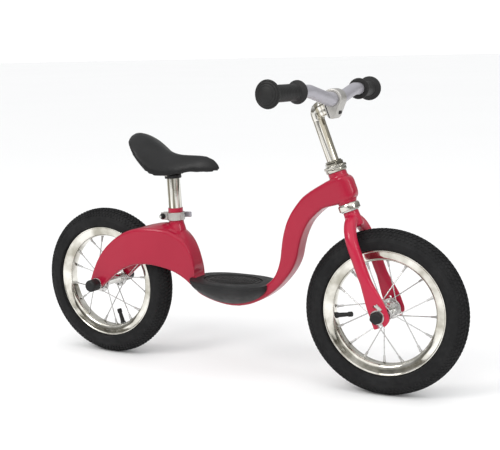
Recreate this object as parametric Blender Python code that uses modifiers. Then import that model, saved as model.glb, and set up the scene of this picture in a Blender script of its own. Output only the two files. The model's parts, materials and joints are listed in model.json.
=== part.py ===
"""Balance bike with 12 inch wheels and a footrest in its dropped frame.

Metres, +Z up. The bike faces +X and stands on Z = 0, and the origin is on the ground under
the middle of its length. Distances ahead are measured from the rear axle. The steered pieces
are placed in the head tube's own axes: ahead of the steering axis, left of it, and up along it
from the height of the front axle.
"""

import math

import bmesh
import bpy
from mathutils import Vector

# Driving dimensions
WHEELBASE = 0.5974
REAR_AXLE_X = -0.2995
AXLE_HEIGHT = 0.147
HEAD_LEAN = math.radians(20.92)
SEAT_LEAN = math.radians(3.11)
FORK_TURN = math.radians(5.54)
BAR_TURN = math.radians(3.6)
GAP = 0.0003

# Wheels: radii about the axle, and half-widths along it
TYRE_HALF_WIDTH = 0.0225
TYRE_CENTRE_R = 0.1205
RIM_FLANGE_R = 0.110
RIM_BED_R = 0.0915
RIM_HALF_WIDTH = 0.0157
SPOKE_R = 0.00105
HUB_FLANGE_R = 0.0185
HUB_FLANGE_Y = 0.029
HUB_HOLE_R = 0.0155
AXLE_R = 0.0048
REAR_HUB_HALF = 0.0355
FRONT_HUB_HALF = 0.0410

# Frame
BEAM_HALF_WIDTH = 0.018
BEAM_EDGE = 0.004
ARM_OUTER_Y = 0.045
WHEEL_SLOT_R = 0.157
HEAD_TUBE = (0.1993, 0.2570)
HEAD_TUBE_R = 0.0165
HEAD_BORE_R = 0.0143
SEAT_TUBE_R = 0.0143
SEAT_BORE_R = 0.0129
SEAT_AXIS_AHEAD = 0.1658
SEAT_AXIS_HEIGHT = 0.2704
SEAT_TUBE_SPAN = (-0.080, 0.0340)
SEAT_CLAMP_SPAN = (0.0105, 0.0255)

# Fork, stem and bars, along the steering axis from the axle's height
STEERER_R = 0.0127
STEERER_BORE_R = 0.0112
STEERER_TOP = 0.2745
BLADE_Y = 0.0455
ARCH_TOP = 0.1690
PADDLE_HALF_THICK = 0.0036
QUILL_R = 0.01055
BAR_R = 0.0111
CLAMP_AHEAD = 0.0405
CLAMP_UP = 0.3775
GRIP_INNER = Vector((0.0380, 0.1384, 0.3941))
GRIP_OUTER = Vector((0.0270, 0.2273, 0.3969))

# Seat
POST_R = 0.0127
POST_BOTTOM = -0.0340
TILT_AXIS_UP = 0.1031
RAIL_R = 0.0025


def clear_scene():
    """Remove every object of the open file."""
    for item in list(bpy.data.objects):
        bpy.data.objects.remove(item, do_unlink=True)


def collection(name):
    """Make a collection under the scene's own."""
    made = bpy.data.collections.new(name)
    bpy.context.scene.collection.children.link(made)
    return made


def material(name, colour, metallic, roughness):
    """Make a Principled material."""
    made = bpy.data.materials.new(name)
    made.use_nodes = True
    shader = made.node_tree.nodes["Principled BSDF"]
    shader.inputs["Base Color"].default_value = (*colour, 1.0)
    shader.inputs["Metallic"].default_value = metallic
    shader.inputs["Roughness"].default_value = roughness
    made.diffuse_color = (*colour, 1.0)
    return made


FINISHES = {
    "red_paint": ((0.52, 0.022, 0.075), 0.0, 0.22),
    "chrome": ((0.80, 0.79, 0.75), 1.0, 0.10),
    "satin_alloy": ((0.60, 0.60, 0.61), 1.0, 0.38),
    "zinc": ((0.62, 0.62, 0.60), 1.0, 0.30),
    "black_plastic": ((0.018, 0.018, 0.019), 0.0, 0.45),
    "black_rubber": ((0.016, 0.016, 0.017), 0.0, 0.70),
    "tyre_rubber": ((0.020, 0.020, 0.021), 0.0, 0.80),
    "saddle_vinyl": ((0.014, 0.014, 0.015), 0.0, 0.42),
}


def link(item, parent, finish, location=(0, 0, 0), rotation=(0, 0, 0)):
    """Put an object in the bike's collection under its parent, with its own material."""
    bpy.data.collections["balance_bike"].objects.link(item)
    item.parent = parent
    item.location = location
    item.rotation_euler = rotation
    if finish is not None:
        item.data.materials.clear()
        item.data.materials.append(material(item.name + "_" + finish, *FINISHES[finish]))
    bpy.context.view_layer.update()
    return item


def empty(name, parent, location=(0, 0, 0), rotation=(0, 0, 0)):
    """Make an empty that carries a set of axes."""
    return link(bpy.data.objects.new(name, None), parent, None, location, rotation)


def baked(item, weld=0.00001, sharp=35):
    """Turn an object's modifiers or curve into a plain closed mesh, shaded smooth."""
    bpy.context.view_layer.update()
    mesh = bpy.data.meshes.new_from_object(item.evaluated_get(bpy.context.evaluated_depsgraph_get()))
    shape = bmesh.new()
    shape.from_mesh(mesh)
    bmesh.ops.remove_doubles(shape, verts=shape.verts, dist=weld)
    bmesh.ops.recalc_face_normals(shape, faces=shape.faces)
    shape.to_mesh(mesh)
    shape.free()
    mesh.shade_smooth()
    mesh.set_sharp_from_angle(angle=math.radians(sharp))
    if item.type == "MESH":
        paint = list(item.data.materials)
        item.modifiers.clear()
        item.data = mesh
        mesh.materials.clear()
        for one in paint:
            mesh.materials.append(one)
        return item
    name, parent = item.name, item.parent
    place = item.matrix_world.copy()
    paint = item.data.materials[0] if item.data.materials else None
    bpy.data.objects.remove(item, do_unlink=True)
    made = bpy.data.objects.new(name, mesh)
    bpy.data.collections["balance_bike"].objects.link(made)
    made.parent = parent
    made.matrix_world = place
    if paint is not None:
        mesh.materials.clear()
        mesh.materials.append(paint)
    bpy.context.view_layer.update()
    return made


def combine(item, other, operation):
    """Cut another object out of one, or join it on, and remove the other."""
    bool_mod = item.modifiers.new(operation.lower(), "BOOLEAN")
    bool_mod.operation = operation
    bool_mod.solver = "EXACT"
    bool_mod.object = other
    finished = baked(item, weld=0.0000002)
    bpy.data.objects.remove(other, do_unlink=True)
    return finished


def cut(item, *cutters):
    """Cut shapes out of an object."""
    for cutter in cutters:
        item = combine(item, cutter, "DIFFERENCE")
    return item


def join(item, *others):
    """Join shapes onto an object."""
    for other in others:
        item = combine(item, other, "UNION")
    return item


def turned(name, profile, parent, finish, location=(0, 0, 0), rotation=(0, 0, 0), steps=16, ring=False):
    """Spin a profile of (radius, height) points about its own Z axis."""
    area = sum(r0 * z1 - r1 * z0 for (r0, z0), (r1, z1) in zip(profile, profile[1:] + profile[:1]))
    points = profile if area < 0 else profile[::-1]
    mesh = bpy.data.meshes.new(name)
    shape = bmesh.new()
    verts = [shape.verts.new((radius, 0, height)) for radius, height in points]
    for start, end in zip(verts, verts[1:]):
        shape.edges.new((start, end))
    if ring:
        shape.edges.new((verts[-1], verts[0]))
    shape.to_mesh(mesh)
    shape.free()
    item = link(bpy.data.objects.new(name, mesh), parent, finish, location, rotation)
    screw = item.modifiers.new("spin", "SCREW")
    screw.steps = steps
    screw.render_steps = steps
    screw.use_merge_vertices = True
    screw.merge_threshold = 0.00001
    return baked(item)


def rod(name, radius, low, high, parent, finish, location=(0, 0, 0), rotation=(0, 0, 0), steps=16, edge=0.0):
    """Make a solid round bar along its own Z axis, its ends eased by an edge."""
    profile = [(0, high), (radius - edge, high)]
    if edge > 0:
        profile += [(radius, high - edge), (radius, low + edge)]
    else:
        profile += [(radius, low)]
    profile += [(radius - edge, low), (0, low)] if edge > 0 else [(0, low)]
    return turned(name, profile, parent, finish, location, rotation, steps)


def collar(name, inner, outer, low, high, parent, finish, location=(0, 0, 0), rotation=(0, 0, 0), steps=16,
           edge=0.0004):
    """Make a plain ring with eased outer edges."""
    profile = [(inner, high), (outer - edge, high), (outer, high - edge), (outer, low + edge),
               (outer - edge, low), (inner, low)]
    return turned(name, profile, parent, finish, location, rotation, steps, ring=True)


def hexagon(name, across, low, high, parent, finish, location=(0, 0, 0), rotation=(0, 0, 0)):
    """Make a six-sided prism along its own Z axis."""
    mesh = bpy.data.meshes.new(name)
    shape = bmesh.new()
    radius = across / 2 / math.cos(math.radians(30))
    bmesh.ops.create_cone(shape, cap_ends=True, segments=6, radius1=radius, radius2=radius, depth=high - low)
    bmesh.ops.translate(shape, verts=shape.verts, vec=(0, 0, (high + low) / 2))
    shape.to_mesh(mesh)
    shape.free()
    return link(bpy.data.objects.new(name, mesh), parent, finish, location, rotation)


def block(name, size, parent, finish, location=(0, 0, 0), rotation=(0, 0, 0), edge=0.0):
    """Make a box about its own middle, with rounded edges."""
    mesh = bpy.data.meshes.new(name)
    shape = bmesh.new()
    bmesh.ops.create_cube(shape, size=1.0)
    bmesh.ops.scale(shape, verts=shape.verts, vec=size)
    shape.to_mesh(mesh)
    shape.free()
    item = link(bpy.data.objects.new(name, mesh), parent, finish, location, rotation)
    if edge > 0:
        bevel = item.modifiers.new("edges", "BEVEL")
        bevel.width = edge
        bevel.segments = 2
        item = baked(item)
    return item


def rounded_path(corners, bend, steps=6):
    """Replace each inner corner of a path by an arc of the bend radius."""
    path = [Vector(corners[0])]
    for before, corner, after in zip(corners, corners[1:], corners[2:]):
        corner = Vector(corner)
        back = (Vector(before) - corner).normalized()
        on = (Vector(after) - corner).normalized()
        half = back.angle(on) / 2
        reach = min(bend / math.tan(half), 0.48 * min((Vector(before) - corner).length,
                                                       (Vector(after) - corner).length))
        start, end = corner + back * reach, corner + on * reach
        centre = corner + (back + on).normalized() * (reach / math.cos(half))
        sweep = math.pi - 2 * half
        for step in range(steps + 1):
            share = step / steps
            arm = (start - centre) * math.sin((1 - share) * sweep) + (end - centre) * math.sin(share * sweep)
            path.append(centre + arm / math.sin(sweep))
    path.append(Vector(corners[-1]))
    return path


def tube(name, path, radius, parent, finish, location=(0, 0, 0), rotation=(0, 0, 0), sides=2, loop=False):
    """Sweep a round bar along a path."""
    curve = bpy.data.curves.new(name, "CURVE")
    curve.dimensions = "3D"
    curve.bevel_depth = radius
    curve.bevel_resolution = sides
    curve.use_fill_caps = True
    spline = curve.splines.new("POLY")
    spline.points.add(len(path) - 1)
    for point, place in zip(spline.points, path):
        point.co = (*place, 1.0)
    spline.use_cyclic_u = loop
    return baked(link(bpy.data.objects.new(name, curve), parent, finish, location, rotation))


def plate(name, outline, half_thick, edge, parent, finish, location=(0, 0, 0), rotation=(0, 0, 0), finer=2,
          grow=0.0):
    """Fill a flat outline and give it a thickness; a point with a third value is a corner."""
    curve = bpy.data.curves.new(name, "CURVE")
    curve.dimensions = "2D"
    curve.fill_mode = "BOTH"
    curve.extrude = half_thick - edge + grow
    curve.bevel_depth = edge
    curve.bevel_resolution = 1
    curve.offset = grow - edge
    curve.resolution_u = finer
    spline = curve.splines.new("BEZIER")
    spline.bezier_points.add(len(outline) - 1)
    for point, place in zip(spline.bezier_points, outline):
        point.co = (place[0], place[1], 0)
        kind = "VECTOR" if len(place) > 2 else "AUTO"
        point.handle_left_type = kind
        point.handle_right_type = kind
    spline.use_cyclic_u = True
    return baked(link(bpy.data.objects.new(name, curve), parent, finish, location, rotation))


def lofted(name, rings, parent, finish, location=(0, 0, 0), rotation=(0, 0, 0), open_start=False):
    """Skin a row of closed sections that have the same number of points."""
    mesh = bpy.data.meshes.new(name)
    shape = bmesh.new()
    rows = [[shape.verts.new(point) for point in ring] for ring in rings]
    count = len(rows[0])
    for low, high in zip(rows, rows[1:]):
        for at in range(count):
            shape.faces.new((low[at], low[(at + 1) % count], high[(at + 1) % count], high[at]))
    if not open_start:
        shape.faces.new(rows[0][::-1])
    shape.faces.new(rows[-1])
    bmesh.ops.recalc_face_normals(shape, faces=shape.faces)
    shape.to_mesh(mesh)
    shape.free()
    mesh.shade_smooth()
    mesh.set_sharp_from_angle(angle=math.radians(35))
    return link(bpy.data.objects.new(name, mesh), parent, finish, location, rotation)


def along_head(ahead, up):
    """Give a place in the head tube's axes as (metres ahead of the rear axle, height)."""
    return (WHEELBASE + ahead * math.cos(HEAD_LEAN) - up * math.sin(HEAD_LEAN),
            AXLE_HEIGHT + ahead * math.sin(HEAD_LEAN) + up * math.cos(HEAD_LEAN))


ACROSS = (math.radians(90), 0, 0)

# Side outline of the main beam, ahead of the rear axle and up from the ground
BEAM_INNER = [(0.4700, 0.3590), (0.4442, 0.3380), (0.4298, 0.3201), (0.4194, 0.3038), (0.4118, 0.2857),
              (0.4063, 0.2651), (0.4030, 0.2450), (0.4000, 0.2240), (0.3925, 0.2010), (0.3805, 0.1860),
              (0.3640, 0.1725), (0.3450, 0.1605), (0.3230, 0.1495), (0.3000, 0.1440), (0.2780, 0.1445),
              (0.2540, 0.1515), (0.2330, 0.1620)]
BEAM_OUTER = [(0.2430, 0.1368), (0.2620, 0.1318), (0.2820, 0.1291), (0.3000, 0.1288), (0.3210, 0.1313),
              (0.3469, 0.1405), (0.3670, 0.1515), (0.3850, 0.1645), (0.4020, 0.1820), (0.4160, 0.1985),
              (0.4260, 0.2150), (0.4318, 0.2294), (0.4355, 0.2460), (0.4401, 0.2644), (0.4463, 0.2804),
              (0.4550, 0.2960), (0.4687, 0.3110), (0.4830, 0.3225)]
BEAM_REAR_TOP = (0.2155, 0.1770)
BEAM_REAR_BOTTOM = (0.2247, 0.1437)

# Rear shell: top edge and bottom edge points, half-width outside, and how far the middle is crowned
SHELL = [((0.2152, 0.1773), (0.2244, 0.1440), 0.0180, 0.0),
         ((0.2140, 0.1950), (0.2139, 0.1520), 0.0183, 0.0),
         ((0.2098, 0.2120), (0.2050, 0.1590), 0.0188, 0.0),
         ((0.2034, 0.2290), (0.1955, 0.1670), 0.0200, 0.001),
         ((0.1944, 0.2435), (0.1820, 0.1760), 0.0222, 0.003),
         ((0.1832, 0.2535), (0.1670, 0.1835), 0.0252, 0.006),
         ((0.1708, 0.2603), (0.1510, 0.1890), 0.0292, 0.009),
         ((0.1580, 0.2655), (0.1350, 0.1930), 0.0340, 0.010),
         ((0.1390, 0.2675), (0.1180, 0.1952), 0.0380, 0.007),
         ((0.1180, 0.2675), (0.1010, 0.1945), 0.0415, 0.003),
         ((0.0947, 0.2640), (0.0840, 0.1912), 0.0437, 0.001),
         ((0.0754, 0.2582), (0.0680, 0.1848), 0.0450, 0.0),
         ((0.0556, 0.2479), (0.0520, 0.1758), 0.0450, 0.0),
         ((0.0352, 0.2330), (0.0370, 0.1645), 0.0450, 0.0),
         ((0.0178, 0.2157), (0.0240, 0.1530), 0.0450, 0.0),
         ((0.0036, 0.1956), (0.0120, 0.1440), 0.0450, 0.0),
         ((-0.0077, 0.1730), (0.0030, 0.1375), 0.0450, 0.0),
         ((-0.0156, 0.1531), (-0.0050, 0.1335), 0.0450, 0.0)]
SHELL_EDGE = 0.005


def make_main_beam(bike, grow=0.0, name="main_beam"):
    """Make the flattened U-shaped beam between the head tube and the rear shells."""
    collar_points = [along_head(-0.0180, 0.2480), along_head(0.0150, 0.2480), along_head(0.0238, 0.2400),
                     along_head(0.0238, 0.2110), along_head(0.0150, 0.2030), along_head(-0.0180, 0.2030)]
    outline = [(*BEAM_REAR_TOP, "corner"), (*BEAM_REAR_BOTTOM, "corner")]
    outline += BEAM_OUTER
    outline += [(*point, "corner") for point in collar_points[::-1]]
    outline += BEAM_INNER
    beam = plate(name, outline, BEAM_HALF_WIDTH, BEAM_EDGE, bike, "red_paint", rotation=ACROSS, grow=grow)
    bore = rod("head_cutter", HEAD_TUBE_R + GAP, 0.18, 0.28, bpy.data.objects["head_axes"], None)
    return cut(beam, bore)


def shell_section(top, bottom, half_width, crown):
    """Give one half of a section across the rear shell, from the middle plane outwards."""
    top, bottom = Vector((top[0], 0, top[1])), Vector((bottom[0], 0, bottom[1]))
    up = (top - bottom).normalized()
    side = Vector((0, 1, 0))
    centre_side = side * GAP / 2
    points = [bottom + centre_side]
    for step in range(4):
        turn = math.radians(30 * step)
        corner = bottom + side * (half_width - SHELL_EDGE) + up * SHELL_EDGE
        points.append(corner + SHELL_EDGE * (side * math.sin(turn) - up * math.cos(turn)))
    for step in range(4):
        turn = math.radians(30 * step)
        corner = top + side * (half_width - SHELL_EDGE) - up * SHELL_EDGE
        points.append(corner + SHELL_EDGE * (side * math.cos(turn) + up * math.sin(turn)))
    points.append(top + side * half_width * 0.45 + up * crown * 0.75)
    points.append(top + centre_side + up * crown)
    return points


def make_rear_arm(name, bike, sign):
    """Make one half of the rear frame: half the hump under the seat, and the arm to its dropout."""
    rings = [[Vector((p.x, sign * p.y, p.z)) for p in shell_section(*row)] for row in SHELL]
    arm = lofted(name, rings, bike, "red_paint")
    wheel_slot = turned("slot_cutter", [(0, 0.036), (0.095, 0.036), (0.122, 0.0305), (0.146, 0.0275),
                                        (0.154, 0.0240), (WHEEL_SLOT_R, 0.0170), (WHEEL_SLOT_R, -0.0170),
                                        (0.154, -0.0240), (0.146, -0.0275), (0.122, -0.0305),
                                        (0.095, -0.036), (0, -0.036)],
                        bike, None, (0, 0, AXLE_HEIGHT), ACROSS, steps=64)
    seat_bore = rod("seat_cutter", SEAT_TUBE_R + GAP, -0.12, 0.06, bpy.data.objects["seat_axes"], None)
    dropout = block("dropout_cutter", (0.060, 0.12, 0.0106), bike, None,
                    (-0.0285, 0, AXLE_HEIGHT - 0.0105), (0, math.radians(-22), 0))
    axle_hole = rod("axle_cutter", 0.0053, -0.08, 0.08, bike, None, (0, 0, AXLE_HEIGHT), ACROSS, steps=24)
    return cut(arm, wheel_slot, seat_bore, axle_hole, dropout)


def make_frame(bike):
    """Make the welded frame: beam, head tube, seat tube and the two rear shells."""
    head, seat = bpy.data.objects["head_axes"], bpy.data.objects["seat_axes"]
    make_main_beam(bike)
    low, high = HEAD_TUBE
    turned("head_tube", [(HEAD_BORE_R, high), (HEAD_TUBE_R - 0.0006, high), (HEAD_TUBE_R, high - 0.0006),
                         (HEAD_TUBE_R, low + 0.0006), (HEAD_TUBE_R - 0.0006, low), (HEAD_BORE_R, low)],
           head, "red_paint", steps=24, ring=True)
    low, high = SEAT_TUBE_SPAN
    seat_tube = turned("seat_tube", [(SEAT_BORE_R, high), (SEAT_TUBE_R, high), (SEAT_TUBE_R, low),
                                     (SEAT_BORE_R, low)], seat, "red_paint", steps=24, ring=True)
    slit = block("slit_cutter", (0.02, 0.002, 0.03), seat, None, (-0.014, 0, high - 0.0105))
    cut(seat_tube, slit)
    make_rear_arm("rear_arm_left", bike, 1)
    make_rear_arm("rear_arm_right", bike, -1)


def make_seat_clamp(seat):
    """Make the quick-release clamp round the top of the seat tube."""
    low, high = SEAT_CLAMP_SPAN
    middle = (low + high) / 2
    band = collar("seat_clamp_band", SEAT_TUBE_R + GAP, 0.0170, low, high, seat, "zinc")
    for sign in (-1, 1):
        ear = block("ear", (0.0170, 0.0045, high - low - 0.001), seat, None,
                    (-0.0228, sign * 0.0042, middle), edge=0.001)
        band = join(band, ear)
    gap_cut = block("gap_cutter", (0.030, 0.0030, 0.03), seat, None, (-0.0275, 0, middle))
    bolt_hole = rod("bolt_cutter", 0.0029, -0.03, 0.03, seat, None, (-0.0262, 0, middle), ACROSS, steps=16)
    cut(band, gap_cut, bolt_hole)
    turned("seat_clamp_skewer", [(0, 0.0160), (0.0026, 0.0160), (0.0026, -0.0145), (0, -0.0145)], seat, "zinc",
           (-0.0262, 0, middle), ACROSS, steps=16)
    collar("seat_clamp_nut", 0.0029, 0.0058, 0.0069, 0.0138, seat, "black_plastic", (-0.0262, 0, middle),
           ACROSS, steps=24)
    make_clamp_lever(seat, middle)


def make_clamp_lever(seat, middle):
    """Make the cam lever, which lies forward along the band's left side when it is closed."""
    hinge = empty("lever_axes", seat, (-0.0262, 0.0195, middle))
    cam = rod("seat_clamp_lever", 0.0062, -0.0055, 0.0055, hinge, "zinc", edge=0.0006, steps=16)
    blade = plate("blade", [(0.0, -0.0030), (0.0200, -0.0022), (0.0420, -0.0020), (0.0470, 0.0015),
                            (0.0430, 0.0052), (0.0200, 0.0052), (0.0, 0.0045)], 0.0050, 0.0010, hinge, None,
                  finer=4)
    pocket = block("pocket_cutter", (0.0112, 0.0220, 0.0064), hinge, None, (-0.0024, -0.0030, 0))
    cut(join(cam, blade), pocket)


def make_footrest(bike):
    """Make the boat-shaped footrest that sits in the beam's U, its tread pad and its two screws."""
    deck, half_length, middle, widest = 0.1750, 0.0830, 0.2895, 0.0560
    rings = []
    for step in range(13):
        along = -math.cos(math.pi * step / 12)
        ahead = middle + half_length * along
        share = max(1 - abs(along) ** 2.6, 0.0)
        rim = 0.0150 + (widest - 0.0150) * share ** 0.5
        keel = deck - 0.0045 - 0.0395 * max(1 - along * along, 0.0) ** 0.62
        keel_half = min(0.0203, rim - 0.0006)
        ring = []
        for side in (-1, 1):
            column = []
            for rise in range(6):
                lift = rise / 5
                bulge = math.sin(lift * math.pi / 2) ** 0.9
                half = keel_half + (rim - keel_half) * bulge
                column.append(Vector((ahead, side * half, keel + (deck - 0.0020 - keel) * lift)))
            column.append(Vector((ahead, side * (rim - 0.0018), deck)))
            ring += column if side < 0 else column[::-1]
        rings.append(ring)
    base = lofted("footrest_base", rings, bike, "black_plastic")
    beam_room = make_main_beam(bike, grow=GAP, name="beam_cutter")
    joint_top = Vector((BEAM_REAR_TOP[0], 0, BEAM_REAR_TOP[1]))
    joint_low = Vector((BEAM_REAR_BOTTOM[0], 0, BEAM_REAR_BOTTOM[1]))
    joint_way = (joint_top - joint_low).normalized()
    ahead_of_joint = Vector((joint_way.z, 0, -joint_way.x))
    rear_room = block("rear_cutter", (0.06, 0.2, 0.12), bike, None,
                      (joint_top + joint_low) / 2 - ahead_of_joint * (0.03 - GAP),
                      (0, math.atan2(-ahead_of_joint.z, ahead_of_joint.x), 0))
    tread_room = plate("tread_cutter", oval(middle, 0.0600, 0.0400), 0.0040, 0.0005, bike, None, (0, 0, deck))
    base = cut(base, beam_room, rear_room, tread_room)
    for ahead, name in ((0.2770, "footrest_screw_rear"), (0.3010, "footrest_screw_front")):
        hole = rod("screw_cutter", 0.0024, 0.118, 0.160, bike, None, (ahead, 0, 0), steps=16)
        base = cut(base, hole)
        beam = bpy.data.objects["main_beam"]
        hole = rod("screw_cutter", 0.0024, 0.110, 0.160, bike, None, (ahead, 0, 0), steps=16)
        cut(beam, hole)
        turned(name, [(0, 0.1550), (0.0020, 0.1550), (0.0020, 0.1284), (0.0048, 0.1284), (0.0044, 0.1262),
                      (0.0026, 0.1254), (0, 0.1252)], bike, "zinc", (ahead, 0, 0), steps=16)
    pad = plate("footrest_pad", oval(middle, 0.0597, 0.0397), 0.0018, 0.0006, bike, "black_rubber",
                (0, 0, deck - 0.0040 + 0.0018 + GAP))
    return pad


def oval(middle, half_long, half_wide, points=10):
    """Give an oval outline about a point ahead of the rear axle."""
    turns = [2 * math.pi * step / points for step in range(points)]
    return [(middle + half_long * math.cos(turn), half_wide * math.sin(turn)) for turn in turns]


def make_headset(head, steer):
    """Make the cups pressed into the head tube, and the races, rings and locknut on the steerer."""
    low, high = HEAD_TUBE
    spigot = (HEAD_BORE_R - GAP, STEERER_R + 0.0006)
    turned("headset_upper_cup", [(spigot[1], high - 0.006), (spigot[0], high - 0.006), (spigot[0], high + GAP),
                                 (0.0178, high + GAP), (0.0190, high + 0.0030), (0.0190, high + 0.0066),
                                 (0.0174, high + 0.0070), (0.0174, high + 0.0030), (spigot[1], high + 0.0030)],
           head, "chrome", ring=True)
    turned("headset_lower_cup", [(spigot[1], low + 0.006), (spigot[0], low + 0.006), (spigot[0], low - GAP),
                                 (0.0178, low - GAP), (0.0194, low - 0.0035), (0.0194, low - 0.0115),
                                 (0.0180, low - 0.0119), (0.0180, low - 0.0060), (spigot[1], low - 0.0060)],
           head, "chrome", ring=True)
    inner = STEERER_R + GAP
    turned("headset_upper_bearing", [(0.0142, high + 0.0033), (0.0168, high + 0.0033), (0.0168, high + 0.0066),
                                     (0.0142, high + 0.0066)], steer, "zinc", ring=True)
    turned("headset_lower_bearing", [(0.0142, low - 0.0063), (0.0172, low - 0.0063), (0.0172, low - 0.0090),
                                     (0.0142, low - 0.0090)], steer, "zinc", ring=True)
    turned("headset_crown_race", [(inner, low - 0.0093), (0.0170, low - 0.0093), (0.0162, low - 0.0138),
                                  (inner, low - 0.0138)], steer, "zinc", ring=True)
    turned("headset_top_race", [(inner, high + 0.0069), (0.0138, high + 0.0069), (0.0138, high + 0.0073),
                                (0.0198, high + 0.0073), (0.0202, high + 0.0085), (0.0202, high + 0.0112),
                                (0.0190, high + 0.0120), (inner, high + 0.0120)], steer, "chrome", ring=True)
    nut = hexagon("headset_locknut", 0.0310, high + 0.0123, high + 0.0185, steer, "chrome")
    skirt = rod("skirt", 0.0140, high + 0.0150, high + 0.0212, steer, None)
    bore = rod("bore_cutter", STEERER_R + GAP, 0.2, 0.4, steer, None)
    cut(join(nut, skirt), bore)


def make_fork(steer):
    """Make the fork: a steerer tube on an inverted U of tube, flattened into slotted paddles."""
    rings = []
    straight_from = ARCH_TOP - BLADE_Y
    stations = [(BLADE_Y * math.sin(turn), straight_from + BLADE_Y * math.cos(turn), turn)
                for turn in [math.radians(15 * step) for step in range(7)]]
    for left, up, turn in stations:
        thick = 0.0118 - 0.0020 * math.sin(turn)
        rings.append(blade_section(left, up, turn, 0.0, thick, thick))
    for up, ahead, wide, deep in ((0.0900, 0.0, 0.0098, 0.0098), (0.0620, 0.0005, 0.0106, 0.0086),
                                  (0.0450, 0.0012, 0.0128, 0.0062), (0.0300, 0.0022, 0.0152, 0.0043),
                                  (0.0180, 0.0028, 0.0166, PADDLE_HALF_THICK),
                                  (-0.0060, 0.0030, 0.0168, PADDLE_HALF_THICK),
                                  (-0.0130, 0.0018, 0.0153, PADDLE_HALF_THICK),
                                  (-0.0190, -0.0035, 0.0095, PADDLE_HALF_THICK)):
        rings.append(blade_section(BLADE_Y, up, math.pi / 2, ahead, wide, deep))
    blades = lofted("fork", rings, steer, "red_paint", open_start=True)
    mirror = blades.modifiers.new("both_sides", "MIRROR")
    mirror.use_axis = (False, True, False)
    mirror.merge_threshold = 0.0001
    blades = baked(blades)
    steerer = turned("steerer", [(0, 0.1600), (0.0125, 0.1600), (0.0140, 0.1700), (0.0138, 0.1780),
                                 (STEERER_R, 0.1840), (STEERER_R, STEERER_TOP), (STEERER_BORE_R, STEERER_TOP),
                                 (STEERER_BORE_R, 0.1740), (0, 0.1740)], steer, None, steps=24)
    fork = join(blades, steerer)
    for sign in (-1, 1):
        slot = block("slot_cutter", (0.0104, 0.02, 0.05), steer, None, (0, sign * BLADE_Y, -0.0250))
        hole = rod("axle_cutter", 0.0052, -0.01, 0.01, steer, None, (0, sign * BLADE_Y, 0), ACROSS, steps=24)
        tab = rod("tab_cutter", 0.0026, -0.01, 0.01, steer, None, (0.0015, sign * BLADE_Y, 0.0185), ACROSS,
                  steps=16)
        fork = cut(fork, slot, hole, tab)
    return fork


def blade_section(left, up, turn, ahead, wide, deep, points=10):
    """Give an oval section across a fork blade, square to the blade's direction."""
    outward = Vector((0, math.sin(turn), math.cos(turn)))
    ring = []
    for step in range(points):
        angle = 2 * math.pi * step / points
        round_ahead = math.copysign(abs(math.cos(angle)) ** 0.85, math.cos(angle))
        place = Vector((ahead + wide * round_ahead, left, up))
        ring.append(place + outward * deep * math.sin(angle))
    return ring


def make_stem(bar_axes):
    """Make the quill stem, its expander bolt and wedge, and its pinch bolt."""
    path = rounded_path([(0, 0, 0.2160), (0, 0, 0.3730), (0.0330, 0, 0.3765)], 0.0120, steps=7)
    stem = tube("stem", path, QUILL_R, bar_axes, "chrome", sides=4)
    ring = rod("ring", 0.0160, -0.0130, 0.0130, bar_axes, None, (CLAMP_AHEAD, 0, CLAMP_UP), ACROSS,
               steps=24, edge=0.0012)
    lobe = block("lobe", (0.0350, 0.0210, 0.0220), bar_axes, None, (0.0215, 0, 0.3590), edge=0.004)
    stem = join(stem, ring, lobe)
    bar_hole = rod("bar_cutter", BAR_R + GAP, -0.03, 0.03, bar_axes, None, (CLAMP_AHEAD, 0, CLAMP_UP), ACROSS,
                   steps=24)
    slit = block("slit_cutter", (0.0020, 0.04, 0.0400), bar_axes, None, (0.0240, 0, 0.3530))
    bolt_way = rod("bolt_cutter", 0.0033, 0.0085, 0.0460, bar_axes, None, (0, 0, 0.3545),
                   (0, math.radians(90), 0), steps=16)
    quill_bore = rod("quill_cutter", 0.0080, 0.2000, 0.3580, bar_axes, None, steps=24)
    bolt_bore = rod("expander_cutter", 0.0040, 0.3500, 0.4000, bar_axes, None, steps=16)
    recess = rod("recess_cutter", 0.0062, 0.3745, 0.4000, bar_axes, None, steps=24)
    stem = cut(stem, bar_hole, slit, bolt_way, quill_bore, bolt_bore, recess)
    turned("stem_expander_bolt", [(0, 0.3795), (0.0048, 0.3795), (0.0055, 0.3785), (0.0055, 0.3748),
                                  (0.0035, 0.3748), (0.0035, 0.2010), (0, 0.2010)], bar_axes, "zinc", steps=16)
    wedge = rod("stem_wedge", QUILL_R, 0.1965, 0.2157, bar_axes, "zinc", steps=24)
    bolt_hole = rod("bolt_cutter", 0.0038, 0.19, 0.22, bar_axes, None, steps=16)
    cut(wedge, bolt_hole)
    turned("stem_clamp_bolt", [(0, 0.0440), (0.0045, 0.0440), (0.0052, 0.0430), (0.0052, 0.0393),
                               (0.0030, 0.0393), (0.0030, 0.0095), (0, 0.0095)], bar_axes, "zinc",
           (0, 0, 0.3545), (0, math.radians(90), 0), steps=16)


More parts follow.
